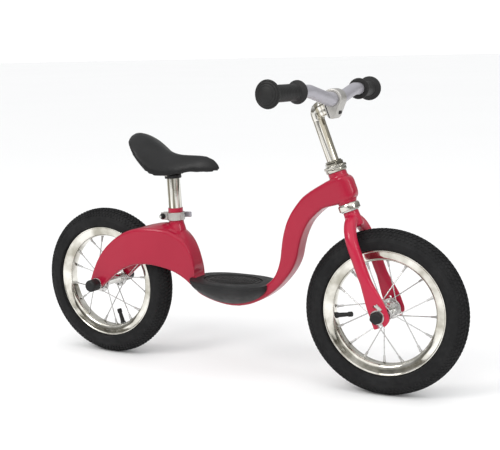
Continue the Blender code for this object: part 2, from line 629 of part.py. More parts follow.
def make_bars(bar_axes):
    """Make the low-rise handlebar and its two grips, which end in broad safety discs."""
    along = (GRIP_OUTER - GRIP_INNER).normalized()
    tip = GRIP_INNER + along * 0.0900
    half = [Vector((CLAMP_AHEAD, 0, CLAMP_UP)), Vector((CLAMP_AHEAD, 0.0300, CLAMP_UP)),
            GRIP_INNER - along * 0.0280, tip]
    mirrored = [Vector((p.x, -p.y, p.z)) for p in half[:0:-1]]
    path = rounded_path(mirrored + half[1:], 0.0400, steps=6)
    tube("handlebar", path, BAR_R, bar_axes, "satin_alloy", sides=4)
    bore = BAR_R + 0.0004
    profile = [(bore, -0.0015), (0.0185, -0.0015), (0.0195, 0.0), (0.0195, 0.0022), (0.0165, 0.0050),
               (0.0137, 0.0090), (0.0137, 0.0790), (0.0166, 0.0815), (0.0190, 0.0850), (0.0222, 0.0885),
               (0.0230, 0.0905), (0.0230, 0.0925), (0.0150, 0.0950), (0.0080, 0.0988), (0, 0.0998),
               (0, 0.0905), (bore, 0.0905)]
    for sign, name in ((1, "grip_left"), (-1, "grip_right")):
        way = Vector((along.x, sign * along.y, along.z))
        turn = way.to_track_quat("Z", "X").to_euler()
        start = Vector((GRIP_INNER.x, sign * GRIP_INNER.y, GRIP_INNER.z))
        turned(name, profile, bar_axes, "black_rubber", start, turn, steps=20, ring=True)


def make_axle_set(prefix, axes, face, cap_end, cap_r):
    """Make an axle with a washer, a nut and a plastic cap on each end."""
    rod(prefix + "_axle", AXLE_R, -(cap_end - 0.0045), cap_end - 0.0045, axes, "zinc", (0, 0, 0), ACROSS,
        steps=24)
    for sign, side in ((-1, "left"), (1, "right")):
        turn = (math.radians(90) * sign, 0, 0)
        collar(prefix + "_washer_" + side, AXLE_R + GAP, 0.0125, face + GAP, face + 0.0020, axes, "zinc",
               (0, 0, 0), turn, steps=16)
        nut_low = face + 0.0020 + GAP
        nut_high = min(nut_low + 0.0075, cap_end - 0.0040)
        nut = hexagon(prefix + "_nut_" + side, 0.0140, nut_low, nut_high, axes, "zinc", (0, 0, 0), turn)
        cut(nut, rod("bore_cutter", AXLE_R + GAP, 0, 0.1, axes, None, (0, 0, 0), turn, steps=24))
        inside = cap_r - 0.0018
        turned(prefix + "_cap_" + side,
               [(inside, nut_low), (cap_r, nut_low), (cap_r, cap_end - 0.0030),
                (cap_r - 0.0010, cap_end - 0.0010),
                (cap_r - 0.0030, cap_end), (0, cap_end), (0, cap_end - 0.0030), (inside, cap_end - 0.0030)],
               axes, "black_plastic", (0, 0, 0), turn, steps=20, ring=True)


def make_wheel(prefix, axes, hub_half, first_angle, valve_angle):
    """Make a wheel: hub barrel, two laced flanges, rim, tyre and valve."""
    barrel = [(AXLE_R + GAP, hub_half), (0.0078, hub_half), (0.0078, HUB_FLANGE_Y + 0.0046),
              (0.0105, HUB_FLANGE_Y + 0.0040), (0.0115, HUB_FLANGE_Y - 0.0020), (0.0115, 0.0180),
              (0.0098, 0.0140)]
    barrel += [(radius, -out) for radius, out in barrel[::-1]]
    turned(prefix + "_hub", barrel, axes, "chrome", rotation=ACROSS, steps=20, ring=True)
    make_rim(prefix, axes, valve_angle)
    make_tyre(prefix, axes)
    for sign, side in ((-1, "right"), (1, "left")):
        start = first_angle if sign < 0 else first_angle + 22.5
        make_spokes(prefix + "_spokes_" + side, axes, sign, start)
    stem = [(0, 0), (0.0052, 0), (0.0052, 0.0020), (0.0043, 0.0040), (0.0040, 0.0200), (0.0046, 0.0205),
            (0.0046, 0.0290), (0.0034, 0.0300), (0, 0.0300)]
    turn = math.radians(valve_angle)
    base = RIM_BED_R - 4 * GAP
    turned(prefix + "_valve", stem, axes, "black_rubber", (base * math.cos(turn), 0, -base * math.sin(turn)),
           (0, turn - math.radians(90), 0), steps=16)


def make_rim(prefix, axes, valve_angle):
    """Make the rolled rim, a channel whose tall walls lean in towards the spokes."""
    half, wall = RIM_HALF_WIDTH, 0.0014
    side = [(RIM_FLANGE_R + 0.0004, half - 0.0010), (RIM_FLANGE_R, half),
            (RIM_FLANGE_R - 0.0040, half - 0.0010),
            (RIM_BED_R + 0.0030, 0.0118), (RIM_BED_R, 0.0085)]
    channel = [(RIM_BED_R + wall, 0.0076), (RIM_BED_R + 0.0046, 0.0104), (RIM_FLANGE_R - 0.0050, half - 0.0026)]
    outside = side + [(radius, -out) for radius, out in side[::-1]]
    loop = outside + [(radius, -out) for radius, out in channel[::-1]] + channel
    turned(prefix + "_rim", loop, axes, "chrome", rotation=ACROSS, steps=36, ring=True)


def make_tyre(prefix, axes):
    """Make the tyre, a full round casing with its beads seated in the rim."""
    reach = AXLE_HEIGHT - TYRE_CENTRE_R
    outer = []
    for step in range(6):
        turn = math.radians(-21 + 22.2 * step)
        outer.append((TYRE_CENTRE_R + reach * math.sin(turn), TYRE_HALF_WIDTH * math.cos(turn)))
    foot = [(0.1130, 0.0185), (0.1108, 0.0140), (0.1040, 0.0118), (0.0985, 0.0102)]
    half = foot[::-1] + [point for point in outer if point[0] > 0.1135]
    half[-1] = (AXLE_HEIGHT, 0.0)
    loop = half + [(radius, -out) for radius, out in half[-2::-1]]
    turned(prefix + "_tyre", loop, axes, "tyre_rubber", rotation=ACROSS, steps=36, ring=True)


def make_spokes(name, axes, sign, start):
    """Make one pressed hub flange with its eight spokes, which cross in pairs."""
    out = HUB_FLANGE_Y
    low, high = sorted((sign * (out - 0.0014), sign * (out + 0.0014)))
    flange = collar(name, 0.0118, HUB_FLANGE_R, low, high, axes, "chrome", rotation=(math.radians(-90), 0, 0),
                    steps=20, edge=0.0002)
    for pair in range(4):
        for own, other in ((0, 1), (1, 0)):
            rim_turn = math.radians(start + 90 * pair + 45 * own)
            hub_turn = math.radians(start + 90 * pair + 45 * other)
            lean = 0.0012 * (1 if own else -1)
            hole_r = HUB_HOLE_R
            foot = Vector((hole_r * math.cos(hub_turn), sign * out + lean, -hole_r * math.sin(hub_turn)))
            tip_r = RIM_BED_R - 5 * GAP
            tip = Vector((tip_r * math.cos(rim_turn), sign * 0.0035 + lean, -tip_r * math.sin(rim_turn)))
            inner = foot - (tip - foot).normalized() * 0.0015
            spoke = tube("spoke", [inner, tip], SPOKE_R, axes, None, sides=0)
            flange = join(flange, spoke)
    return flange


# Saddle rows: ahead of the rear axle, top, lower edge and half-width
SADDLE = [(0.0690, 0.4401, 0.4324, 0.0090), (0.0740, 0.4457, 0.4276, 0.0231), (0.0826, 0.4480, 0.4244, 0.0369),
          (0.0928, 0.4466, 0.4155, 0.0479), (0.1086, 0.4401, 0.3990, 0.0558), (0.1278, 0.4282, 0.3798, 0.0563),
          (0.1430, 0.4185, 0.3688, 0.0535), (0.1630, 0.4111, 0.3666, 0.0437), (0.1830, 0.4079, 0.3696, 0.0333),
          (0.2050, 0.4082, 0.3740, 0.0256), (0.2300, 0.4087, 0.3754, 0.0207), (0.2480, 0.4045, 0.3752, 0.0166),
          (0.2600, 0.3964, 0.3746, 0.0112), (0.2670, 0.3863, 0.3751, 0.0040)]
SADDLE_WIDEST_AT = 0.25


def recess_depth(top, bottom):
    """Say how far the saddle's underside is hollowed above its lower edge."""
    return min(0.48 * (top - bottom), 0.0208)


def make_saddle(seat, bike):
    """Make the padded saddle, the tray under it, its rails and the clamp on the post."""
    rings = []
    for ahead, top, bottom, half in SADDLE:
        lift = recess_depth(top, bottom)
        lip = min(0.0080, half * 0.45)
        ring = []
        for step in range(9):
            turn = math.pi * step / 8
            across = math.copysign(abs(math.cos(turn)) ** 0.75, math.cos(turn))
            dome = max(1 - abs(across) ** 1.675, 0.0) ** 0.8
            height = bottom + (top - bottom) * (SADDLE_WIDEST_AT + (1 - SADDLE_WIDEST_AT) * dome)
            ring.append((ahead, half * across, height))
        for across, height in ((-half * 0.97, bottom + 0.06 * (top - bottom)), (-half + 0.0012, bottom),
                               (-half + lip, bottom), (-half + lip + 0.0004, bottom + lift),
                               (half - lip - 0.0004, bottom + lift), (half - lip, bottom),
                               (half - 0.0012, bottom), (half * 0.97, bottom + 0.06 * (top - bottom))):
            ring.append((ahead, across, height))
        rings.append(ring)
    lofted("saddle_cover", rings, bike, "saddle_vinyl")
    tray = []
    for ahead, top, bottom, half in SADDLE[3:12]:
        ceiling = bottom + recess_depth(top, bottom) - GAP
        side = half - min(0.0080, half * 0.45) - 0.0010
        tray.append([(ahead, side, ceiling), (ahead, -side, ceiling), (ahead, -side, ceiling - 0.0030),
                     (ahead, side, ceiling - 0.0030)])
    lofted("saddle_base", tray, bike, "black_plastic")
    make_saddle_clamp(seat)


def make_saddle_clamp(seat):
    """Make the seat post, the clamp head on it, the cross bolt and the rails it holds."""
    up = TILT_AXIS_UP
    rod("seatpost", POST_R, POST_BOTTOM, up - 0.0075, seat, "chrome", steps=24, edge=0.0008)
    head = rod("saddle_clamp", 0.0070, -0.0115, 0.0115, seat, "black_plastic", (0, 0, up), ACROSS)
    socket = collar("socket", POST_R + GAP, 0.0160, up - 0.0120, up - 0.0048, seat, None, steps=24)
    crown = rod("crown", 0.0140, up - 0.0072, up - 0.0045, seat, None, steps=24)
    head = join(head, join(socket, crown))
    cut(head, rod("bolt_cutter", 0.0034, -0.03, 0.03, seat, None, (0, 0, up), ACROSS))
    turned("saddle_bolt", [(0, 0.0245), (0.0060, 0.0245), (0.0066, 0.0238), (0.0066, 0.0200), (0.0030, 0.0200),
                           (0.0030, -0.0200), (0.0066, -0.0200), (0.0066, -0.0238), (0.0060, -0.0245),
                           (0, -0.0245)], seat, "zinc", (0, 0, up), ACROSS)
    rail_up = up + 0.0030 + GAP + RAIL_R
    half = [(-0.0560, 0.0200, rail_up + 0.0200), (-0.0300, 0.0157, rail_up), (0.0300, 0.0157, rail_up),
            (0.0700, 0.0085, rail_up - 0.0030), (0.0800, 0.0, rail_up - 0.0030)]
    path = half + [(x, -y, z) for x, y, z in half[-2::-1]]
    tube("saddle_rails", rounded_path(path, 0.0120, steps=4), RAIL_R, seat, "chrome", sides=1)


def main():
    """Build the whole bike."""
    clear_scene()
    collection("balance_bike")
    bike = empty("bike", None, (REAR_AXLE_X, 0, 0))
    head = empty("head_axes", bike, (WHEELBASE, 0, AXLE_HEIGHT), (0, -HEAD_LEAN, 0))
    seat = empty("seat_axes", bike, (SEAT_AXIS_AHEAD, 0, SEAT_AXIS_HEIGHT), (0, -SEAT_LEAN, 0))
    fork_axes = empty("fork_axes", head, (0, 0, 0), (0, 0, FORK_TURN))
    bar_axes = empty("bar_axes", head, (0, 0, 0), (0, 0, BAR_TURN))
    front_axes = empty("front_wheel_axes", fork_axes, (0, 0, 0), (0, HEAD_LEAN, 0))
    rear_axes = empty("rear_wheel_axes", bike, (0, 0, AXLE_HEIGHT))
    make_frame(bike)
    make_seat_clamp(seat)
    make_footrest(bike)
    make_headset(head, fork_axes)
    make_fork(fork_axes)
    make_stem(bar_axes)
    make_bars(bar_axes)
    make_axle_set("rear", rear_axes, ARM_OUTER_Y, 0.0690, 0.0118)
    make_axle_set("front", fork_axes, BLADE_Y + PADDLE_HALF_THICK, 0.0615, 0.0105)
    make_wheel("rear", rear_axes, REAR_HUB_HALF, 36.5, 72.0)
    make_wheel("front", front_axes, FRONT_HUB_HALF, 68.5, 171.0)
    make_saddle(seat, bike)


main()
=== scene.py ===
"""Visual model of a child's balance bike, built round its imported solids.

Metres, +Z up, and the bike faces +X. Each sub-assembly is a class that holds its sizes, makes its
meshes in its own axes and hands every piece to the body it moves with.
"""

import json
import logging
import math
from collections.abc import Callable
from dataclasses import dataclass
from enum import Enum

import bmesh
import bpy
import numpy as np
from mathutils import Matrix, Vector


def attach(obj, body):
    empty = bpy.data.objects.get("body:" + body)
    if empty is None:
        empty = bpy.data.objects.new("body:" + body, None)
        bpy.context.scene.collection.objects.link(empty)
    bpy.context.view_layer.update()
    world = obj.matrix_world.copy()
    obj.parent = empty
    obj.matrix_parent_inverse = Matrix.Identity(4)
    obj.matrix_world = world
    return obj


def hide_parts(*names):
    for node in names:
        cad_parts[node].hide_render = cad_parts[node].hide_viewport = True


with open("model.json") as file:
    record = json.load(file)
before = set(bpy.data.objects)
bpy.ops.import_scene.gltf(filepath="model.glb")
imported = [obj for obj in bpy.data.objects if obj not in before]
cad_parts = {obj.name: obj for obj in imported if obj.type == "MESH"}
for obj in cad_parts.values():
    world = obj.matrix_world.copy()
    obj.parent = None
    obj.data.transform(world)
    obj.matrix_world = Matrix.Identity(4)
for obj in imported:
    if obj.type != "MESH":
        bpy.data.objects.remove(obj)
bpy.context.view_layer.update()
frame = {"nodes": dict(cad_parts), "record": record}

LOG = logging.getLogger("balance_bike")
Point = tuple[float, ...]
Shape = bmesh.types.BMesh
TOUCHING = 1e-7


# ---------------------------------------------------------------------------------------------
# Axes
# ---------------------------------------------------------------------------------------------


@dataclass(frozen=True)
class BikeAxes:
    """The sets of axes that the sub-assemblies are made in, as matrices into the bike's metres."""

    wheelbase: float = 0.5974
    rear_axle_x: float = -0.2995
    axle_height: float = 0.147
    head_lean: float = math.radians(20.92)
    seat_lean: float = math.radians(3.11)
    fork_turn: float = math.radians(5.54)
    bar_turn: float = math.radians(3.6)
    seat_ahead: float = 0.1658
    seat_height: float = 0.2704

    @property
    def bike(self) -> Matrix:
        """Axes on the ground under the rear axle."""
        return Matrix.Translation((self.rear_axle_x, 0, 0))

    @property
    def head(self) -> Matrix:
        """Axes along the head tube, from the front axle's height."""
        start = Matrix.Translation((self.rear_axle_x + self.wheelbase, 0, self.axle_height))
        return start @ Matrix.Rotation(-self.head_lean, 4, "Y")

    @property
    def fork(self) -> Matrix:
        """Head axes, turned with the fork."""
        return self.head @ Matrix.Rotation(self.fork_turn, 4, "Z")

    @property
    def bars(self) -> Matrix:
        """Head axes, turned with the stem and handlebar."""
        return self.head @ Matrix.Rotation(self.bar_turn, 4, "Z")

    @property
    def seat(self) -> Matrix:
        """Axes along the seat post."""
        start = Matrix.Translation((self.rear_axle_x + self.seat_ahead, 0, self.seat_height))
        return start @ Matrix.Rotation(-self.seat_lean, 4, "Y")

    @property
    def rear_axle(self) -> Matrix:
        """Axes with Z along the rear axle to the left, X ahead and Y down."""
        start = Matrix.Translation((self.rear_axle_x, 0, self.axle_height))
        return start @ ALONG_AXLE

    @property
    def front_axle(self) -> Matrix:
        """Axes with Z along the front axle to the left, X ahead and Y down."""
        upright = self.fork @ Matrix.Rotation(self.head_lean, 4, "Y")
        return upright @ ALONG_AXLE

    def along_head(self, ahead: float, up: float) -> tuple[float, float]:
        """Give a place in the head's axes as metres ahead of the rear axle and height."""
        cosine, sine = math.cos(self.head_lean), math.sin(self.head_lean)
        return (self.wheelbase + ahead * cosine - up * sine, self.axle_height + ahead * sine + up * cosine)


AXES = BikeAxes()
ACROSS = Matrix.Rotation(math.radians(90), 4, "X")
ALONG_AXLE = Matrix.Rotation(math.radians(-90), 4, "X")


# ---------------------------------------------------------------------------------------------
# Mesh work
# ---------------------------------------------------------------------------------------------


class Ends(Enum):
    """What becomes of the two ends of a skinned body."""

    CAPPED = "capped"
    JOINED = "joined"


def skin(rings: list[list[Vector]], ends: Ends = Ends.CAPPED) -> Shape:
    """Skin a row of closed sections that have the same number of points.

    Args:
        rings: The sections, in order.
        ends: Whether the first and last sections are capped or joined to each other.

    Returns:
        The skinned shape.
    """
    shape = bmesh.new()
    rows = [[shape.verts.new(point) for point in ring] for ring in rings]
    spans = list(zip(rows, rows[1:]))
    if ends is Ends.JOINED:
        spans.append((rows[-1], rows[0]))
    for low, high in spans:
        for at, corner in enumerate(low):
            on = (at + 1) % len(low)
            shape.faces.new((corner, low[on], high[on], high[at]))
    if ends is Ends.CAPPED:
        shape.faces.new(rows[0][::-1])
        shape.faces.new(rows[-1])
    bmesh.ops.recalc_face_normals(shape, faces=shape.faces)
    return shape


def lathe(profile: list[Point], steps: int = 72, closed: bool = False,
          rule: Callable[[float, float, float], float] | None = None) -> Shape:
    """Spin a profile about Z.

    Args:
        profile: Points of radius and height.
        steps: Number of segments round the axis.
        closed: Whether the last point joins the first, as in a ring.
        rule: Gives the radius from the turn, the profile's radius and the height, for flats or knurls.

    Returns:
        The turned shape.
    """
    shape = bmesh.new()
    poles = {at: shape.verts.new((0, 0, point[1])) for at, point in enumerate(profile) if point[0] < TOUCHING}
    rows = []
    for step in range(steps):
        turn = 2 * math.pi * step / steps
        row = []
        for at, (radius, height) in enumerate(profile):
            radius = rule(turn, radius, height) if rule else radius
            spot = (radius * math.cos(turn), radius * math.sin(turn), height)
            row.append(poles[at] if at in poles else shape.verts.new(spot))
        rows.append(row)
    spans = len(profile) if closed else len(profile) - 1
    for step, here in enumerate(rows):
        there = rows[(step + 1) % steps]
        for at in range(spans):
            on = (at + 1) % len(profile)
            corners = list(dict.fromkeys((here[at], here[on], there[on], there[at])))
            if len(corners) > 2:
                shape.faces.new(corners)
    bmesh.ops.recalc_face_normals(shape, faces=shape.faces)
    return shape


def rod(radius: float, low: float, high: float, steps: int) -> Shape:
    """Make a plain round bar about Z, between two heights."""
    return lathe([(0, low), (radius, low), (radius, high), (0, high)], steps)


def circle(radius: float, count: int) -> list[Point]:
    """Give points evenly round a circle, or the corners of a hexagon when there are six."""
    turns = [2 * math.pi * step / count for step in range(count)]
    return [(radius * math.cos(turn), radius * math.sin(turn)) for turn in turns]


def aimed(way: Vector) -> Matrix:
    """Give the turn that points Z along a direction."""
    return way.to_track_quat("Z", "X").to_matrix().to_4x4()


def eased(points: list[Point], radius: float, steps: int = 4, closed: bool = False) -> list[Point]:
    """Round the corners of a flat outline.

    Args:
        points: Corners; a third value is that corner's own radius.
        radius: Radius of the other corners.
        steps: Segments in each rounded corner.
        closed: Whether the outline is a loop, so its first and last points are corners too.

    Returns:
        The rounded outline.
    """
    out: list[Point] = []
    count = len(points)
    for at, point in enumerate(points):
        if not closed and at in (0, count - 1):
            out.append((point[0], point[1]))
            continue
        corner = Vector(point[:2])
        back = Vector(points[at - 1][:2]) - corner
        on = Vector(points[(at + 1) % count][:2]) - corner
        wanted = point[2] if len(point) > 2 else radius
        reach = min(wanted, back.length * 0.48, on.length * 0.48)
        if reach < 1e-6 or back.angle(-on) < 0.02:
            out.append((corner.x, corner.y))
            continue
        start, end = corner + back.normalized() * reach, corner + on.normalized() * reach
        for step in range(steps + 1):
            share = step / steps
            spot = start.lerp(corner, share).lerp(corner.lerp(end, share), share)
            out.append((spot.x, spot.y))
    return out


def smoothed(rows: list[Point], spans: int) -> list[list[float]]:
    """Run a smooth curve through rows of numbers.

    Args:
        rows: The rows to pass through.
        spans: Steps between one row and the next.

    Returns:
        The finer rows.
    """
    table = np.array(rows, float)
    table = np.vstack([2 * table[0] - table[1], table, 2 * table[-1] - table[-2]])
    out = []
    for at in range(1, len(table) - 2):
        before, here, there, after = table[at - 1:at + 3]
        for step in range(spans):
            t = step / spans
            line = 2 * here + (there - before) * t
            line = line + (2 * before - 5 * here + 4 * there - after) * t ** 2
            line = line + (3 * here - before - 3 * there + after) * t ** 3
            out.append(list(line / 2))
    out.append(list(table[-2]))
    return out


def bent(corners: list[Vector], bend: float, steps: int = 10) -> list[Vector]:
    """Replace each inner corner of a path by an arc.

    Args:
        corners: The path's ends and corners.
        bend: Radius of the arcs, made smaller where there is no room.
        steps: Segments in each arc.

    Returns:
        The bent path.
    """
    path = [Vector(corners[0])]
    for before, corner, after in zip(corners, corners[1:], corners[2:]):
        back, on = Vector(before) - Vector(corner), Vector(after) - Vector(corner)
        half = back.angle(on) / 2
        reach = min(bend / math.tan(half), 0.48 * min(back.length, on.length))
        back, on = back.normalized(), on.normalized()
        centre = Vector(corner) + (back + on).normalized() * (reach / math.cos(half))
        start, end = Vector(corner) + back * reach - centre, Vector(corner) + on * reach - centre
        sweep = math.pi - 2 * half
        for step in range(steps + 1):
            share = step / steps
            arm = start * math.sin((1 - share) * sweep) + end * math.sin(share * sweep)
            path.append(centre + arm / math.sin(sweep))
    path.append(Vector(corners[-1]))
    return path


def pipe(path: list[Vector], radii: list[float], sides: int) -> Shape:
    """Sweep a round bar along a path.

    Args:
        path: Points along its middle.
        radii: Its radius at each point, or one radius for all.
        sides: Segments round it.

    Returns:
        The bar.
    """
    rings = []
    side = (path[1] - path[0]).orthogonal().normalized()
    for at, spot in enumerate(path):
        way = (path[min(at + 1, len(path) - 1)] - path[max(at - 1, 0)]).normalized()
        side = (side - way * side.dot(way)).normalized()
        across = way.cross(side)
        radius = radii[at] if len(radii) > 1 else radii[0]
        turns = [2 * math.pi * step / sides for step in range(sides)]
        rings.append([spot + (side * math.cos(turn) + across * math.sin(turn)) * radius for turn in turns])
    return skin(rings)


def slab(outline: list[Point], low: float, high: float, edge: float, steps: int = 3) -> Shape:
    """Give a flat outline a thickness along Z, with rounded edges.

    Args:
        outline: A closed loop of points, the same way round as the sun or against it.
        low: Height of the underside.
        high: Height of the upper side.
        edge: Radius of the rounded edges.
        steps: Segments in each rounded edge.

    Returns:
        The slab.
    """
    middle = [Vector(point[:2]) for point in outline]
    area = sum(a.x * b.y - b.x * a.y for a, b in zip(middle, middle[1:] + middle[:1]))
    if area < 0:
        middle.reverse()
    inward = []
    for at, spot in enumerate(middle):
        way = (middle[(at + 1) % len(middle)] - middle[at - 1]).normalized()
        inward.append(Vector((-way.y, way.x)))
    layers = []
    for side, height in ((-1, low), (1, high)):
        turns = [math.pi / 2 * step / steps for step in range(steps + 1)]
        for turn in turns if side < 0 else turns[::-1]:
            layers.append((edge * (1 - math.sin(turn)), height - side * edge * (1 - math.cos(turn))))
    rings = [[Vector((*(spot + into * inset), height)) for spot, into in zip(middle, inward)]
             for inset, height in layers]
    return skin(rings)


def moved(shape: Shape, axes: Matrix) -> Shape:
    """Move a shape by a matrix and give it back."""
    bmesh.ops.transform(shape, matrix=axes, verts=shape.verts)
    return shape


def box(size: Point, axes: Matrix, edge: float = 0.0) -> Shape:
    """Make a block about its own middle, with rounded edges if an edge is given."""
    shape = bmesh.new()
    bmesh.ops.create_cube(shape, size=1.0)
    bmesh.ops.scale(shape, verts=shape.verts, vec=size)
    if edge > 0:
        bmesh.ops.bevel(shape, geom=shape.edges[:], offset=edge, segments=4, affect="EDGES", profile=0.5)
    return moved(shape, axes)


def gathered(*shapes: Shape) -> Shape:
    """Put several shapes into one mesh without welding them."""
    whole = bmesh.new()
    for shape in shapes:
        mesh = bpy.data.meshes.new("gathered")
        shape.to_mesh(mesh)
        shape.free()
        whole.from_mesh(mesh)
        bpy.data.meshes.remove(mesh)
    return whole


def bench_object(shape: Shape, name: str = "blank") -> bpy.types.Object:
    """Turn a shape into an object in the scene."""
    mesh = bpy.data.meshes.new(name)
    shape.to_mesh(mesh)
    shape.free()
    item = bpy.data.objects.new(name, mesh)
    bpy.context.scene.collection.objects.link(item)
    return item


def evaluated(item: bpy.types.Object) -> Shape:
    """Read an object's mesh with its modifiers, and remove the object."""
    graph = bpy.context.evaluated_depsgraph_get()
    shape = bmesh.new()
    shape.from_object(item, graph)
    bpy.data.objects.remove(item, do_unlink=True)
    return shape


def worked(blank: Shape, tools: list[Shape], operation: str = "DIFFERENCE") -> Shape:
    """Cut tools out of a blank, or weld them on with a UNION.

    Args:
        blank: The shape to work on.
        tools: The shapes to cut out or weld on.
        operation: The Boolean to use.

    Returns:
        The worked shape.
    """
    item = bench_object(blank)
    jigs = [bench_object(tool, "jig") for tool in tools]
    for jig in jigs:
        step = item.modifiers.new("work", "BOOLEAN")
        step.operation, step.solver, step.object = operation, "EXACT", jig
    bpy.context.view_layer.update()
    shape = evaluated(item)
    for jig in jigs:
        bpy.data.objects.remove(jig, do_unlink=True)
    bmesh.ops.recalc_face_normals(shape, faces=shape.faces)
    return shape


def melted(blank: Shape, voxel: float, rounds: int) -> Shape:
    """Flow a shape's parts into each other, as under welds and thick paint.

    Args:
        blank: The shape to work on.
        voxel: Grain of the new mesh.
        rounds: How many times it is smoothed.

    Returns:
        The flowed shape.
    """
    item = bench_object(blank)
    remesh = item.modifiers.new("flow", "REMESH")
    remesh.mode, remesh.voxel_size = "VOXEL", voxel
    smooth = item.modifiers.new("ease", "SMOOTH")
    smooth.factor, smooth.iterations = 0.5, rounds
    bpy.context.view_layer.update()
    return evaluated(item)


class Body(Enum):
    """The moving bodies of the bike."""

    FRAME = "frame"
    LEVER = "clamp_lever"
    SEATPOST = "seatpost"
    SADDLE = "saddle"
    FORK = "fork"
    STEM = "stem"
    BARS = "bars"
    REAR_WHEEL = "rear_wheel"
    FRONT_WHEEL = "front_wheel"


@dataclass(frozen=True)
class Fitting:
    """Where a piece belongs: its axes, body, slot and the solids it stands for."""

    axes: Matrix
    body: Body
    slot: str
    stands_for: tuple[str, ...] = ()


def fit(name: str, shape: Shape, finish: "Finish", fitting: Fitting,
        crease: float = 38.0) -> bpy.types.Object:
    """Turn a shape into a finished piece that rides on its body.

    Args:
        name: The piece's name.
        shape: Its shape, in the fitting's axes.
        finish: Its finish.
        fitting: Where it belongs.
        crease: Angle in degrees above which an edge stays sharp.

    Returns:
        The piece.
    """
    bmesh.ops.remove_doubles(shape, verts=shape.verts, dist=TOUCHING)
    item = bench_object(shape, name)
    item.data.shade_smooth()
    item.data.set_sharp_from_angle(angle=math.radians(crease))
    item.data.materials.append(finish.material())
    item.matrix_world = fitting.axes
    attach(item, fitting.body.value)
    if fitting.stands_for:
        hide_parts(*fitting.stands_for)
    LOG.info("%s: %d faces on %s", name, len(item.data.polygons), fitting.body.value)
    return item


# ---------------------------------------------------------------------------------------------
# Finishes
# ---------------------------------------------------------------------------------------------


class Bench:
    """Lays out and joins the nodes of one material."""

    def __init__(self, name: str) -> None:
        """Start a named material with a Principled shader."""
        self.material = bpy.data.materials.new(name)
        self.material.use_nodes = True
        self.tree = self.material.node_tree
        self.shader = self.tree.nodes["Principled BSDF"]
        self.where = self.tree.nodes.new("ShaderNodeTexCoord").outputs["Object"]

    def set(self, **sockets: float) -> None:
        """Set the shader's own sockets, named with underscores for spaces."""
        for name, value in sockets.items():
            self.shader.inputs[name.replace("_", " ")].default_value = value

    def join(self, source: bpy.types.NodeSocket, target: bpy.types.NodeSocket) -> None:
        """Join one socket to another."""
        self.tree.links.new(source, target)

    def stretched(self, scale: Point) -> bpy.types.NodeSocket:
        """Give the piece's own coordinates, stretched along each axis."""
        node = self.tree.nodes.new("ShaderNodeMapping")
        node.inputs["Scale"].default_value = scale
        self.join(self.where, node.inputs["Vector"])
        return node.outputs["Vector"]

    def noise(self, scale: float, detail: float,
              where: bpy.types.NodeSocket | None = None) -> bpy.types.NodeSocket:
        """Give a cloudy value from 0 to 1."""
        node = self.tree.nodes.new("ShaderNodeTexNoise")
        node.inputs["Scale"].default_value = scale
        node.inputs["Detail"].default_value = detail
        self.join(where or self.where, node.inputs["Vector"])
        return node.outputs["Fac"]

    def cells(self, scale: float) -> bpy.types.NodeSocket:
        """Give the distance to the middle of the nearest cell."""
        node = self.tree.nodes.new("ShaderNodeTexVoronoi")
        node.inputs["Scale"].default_value = scale
        self.join(self.where, node.inputs["Vector"])
        return node.outputs["Distance"]

    def ranged(self, source: bpy.types.NodeSocket, start: Point, end: Point) -> bpy.types.NodeSocket:
        """Map a value from one range to another."""
        node = self.tree.nodes.new("ShaderNodeMapRange")
        for name, value in zip(("From Min", "From Max", "To Min", "To Max"), (*start, *end)):
            node.inputs[name].default_value = value
        self.join(source, node.inputs["Value"])
        return node.outputs["Result"]

    def added(self, first: bpy.types.NodeSocket, second: bpy.types.NodeSocket,
              share: float) -> bpy.types.NodeSocket:
        """Add a share of one value to another."""
        node = self.tree.nodes.new("ShaderNodeMath")
        node.operation = "MULTIPLY_ADD"
        node.inputs[1].default_value = share
        self.join(second, node.inputs[0])
        self.join(first, node.inputs[2])
        return node.outputs["Value"]

    def tinted(self, share: bpy.types.NodeSocket, first: Point, second: Point) -> None:
        """Colour the shader by mixing two colours."""
        node = self.tree.nodes.new("ShaderNodeMix")
        node.data_type = "RGBA"
        node.inputs["A"].default_value = (*first, 1.0)
        node.inputs["B"].default_value = (*second, 1.0)
        self.join(share, node.inputs["Factor"])
        self.join(node.outputs["Result"], self.shader.inputs["Base Color"])

    def roughened(self, source: bpy.types.NodeSocket, low: float, high: float) -> None:
        """Vary the shader's roughness between two values."""
        self.join(self.ranged(source, (0.3, 0.7), (low, high)), self.shader.inputs["Roughness"])

    def raised(self, source: bpy.types.NodeSocket, distance: float) -> None:
        """Raise the surface by a value."""
        node = self.tree.nodes.new("ShaderNodeBump")
        node.inputs["Distance"].default_value = distance
        self.join(source, node.inputs["Height"])
        self.join(node.outputs["Normal"], self.shader.inputs["Normal"])


@dataclass(frozen=True)
class Finish:
    """A finish, made once and shared by the pieces that have it."""

    name: str

    def lay(self, bench: Bench) -> None:
        """Lay out the finish's nodes; each kind of finish has its own way."""

    def material(self) -> bpy.types.Material:
        """Give the finish's material, making it the first time."""
        made = bpy.data.materials.get(self.name)
        if made is None:
            bench = Bench(self.name)
            self.lay(bench)
            made = bench.material
        return made


@dataclass(frozen=True)
class SprayedPaint(Finish):
    """Gloss enamel under a clear lacquer, with a faint orange peel."""

    colour: Point = (0.38, 0.006, 0.033)
    shade: Point = (0.31, 0.005, 0.027)
    peel: float = 0.00005

    def lay(self, bench: Bench) -> None:
        """Lay the colour coat, the lacquer and the orange peel."""
        bench.set(Metallic=0.0, Coat_Weight=0.55, Coat_Roughness=0.06, Coat_IOR=1.4, Specular_IOR_Level=0.2)
        bench.tinted(bench.noise(9.0, 4.0), self.shade, self.colour)
        bench.roughened(bench.noise(55.0, 3.0), 0.30, 0.40)
        bench.raised(bench.noise(260.0, 2.0), self.peel)


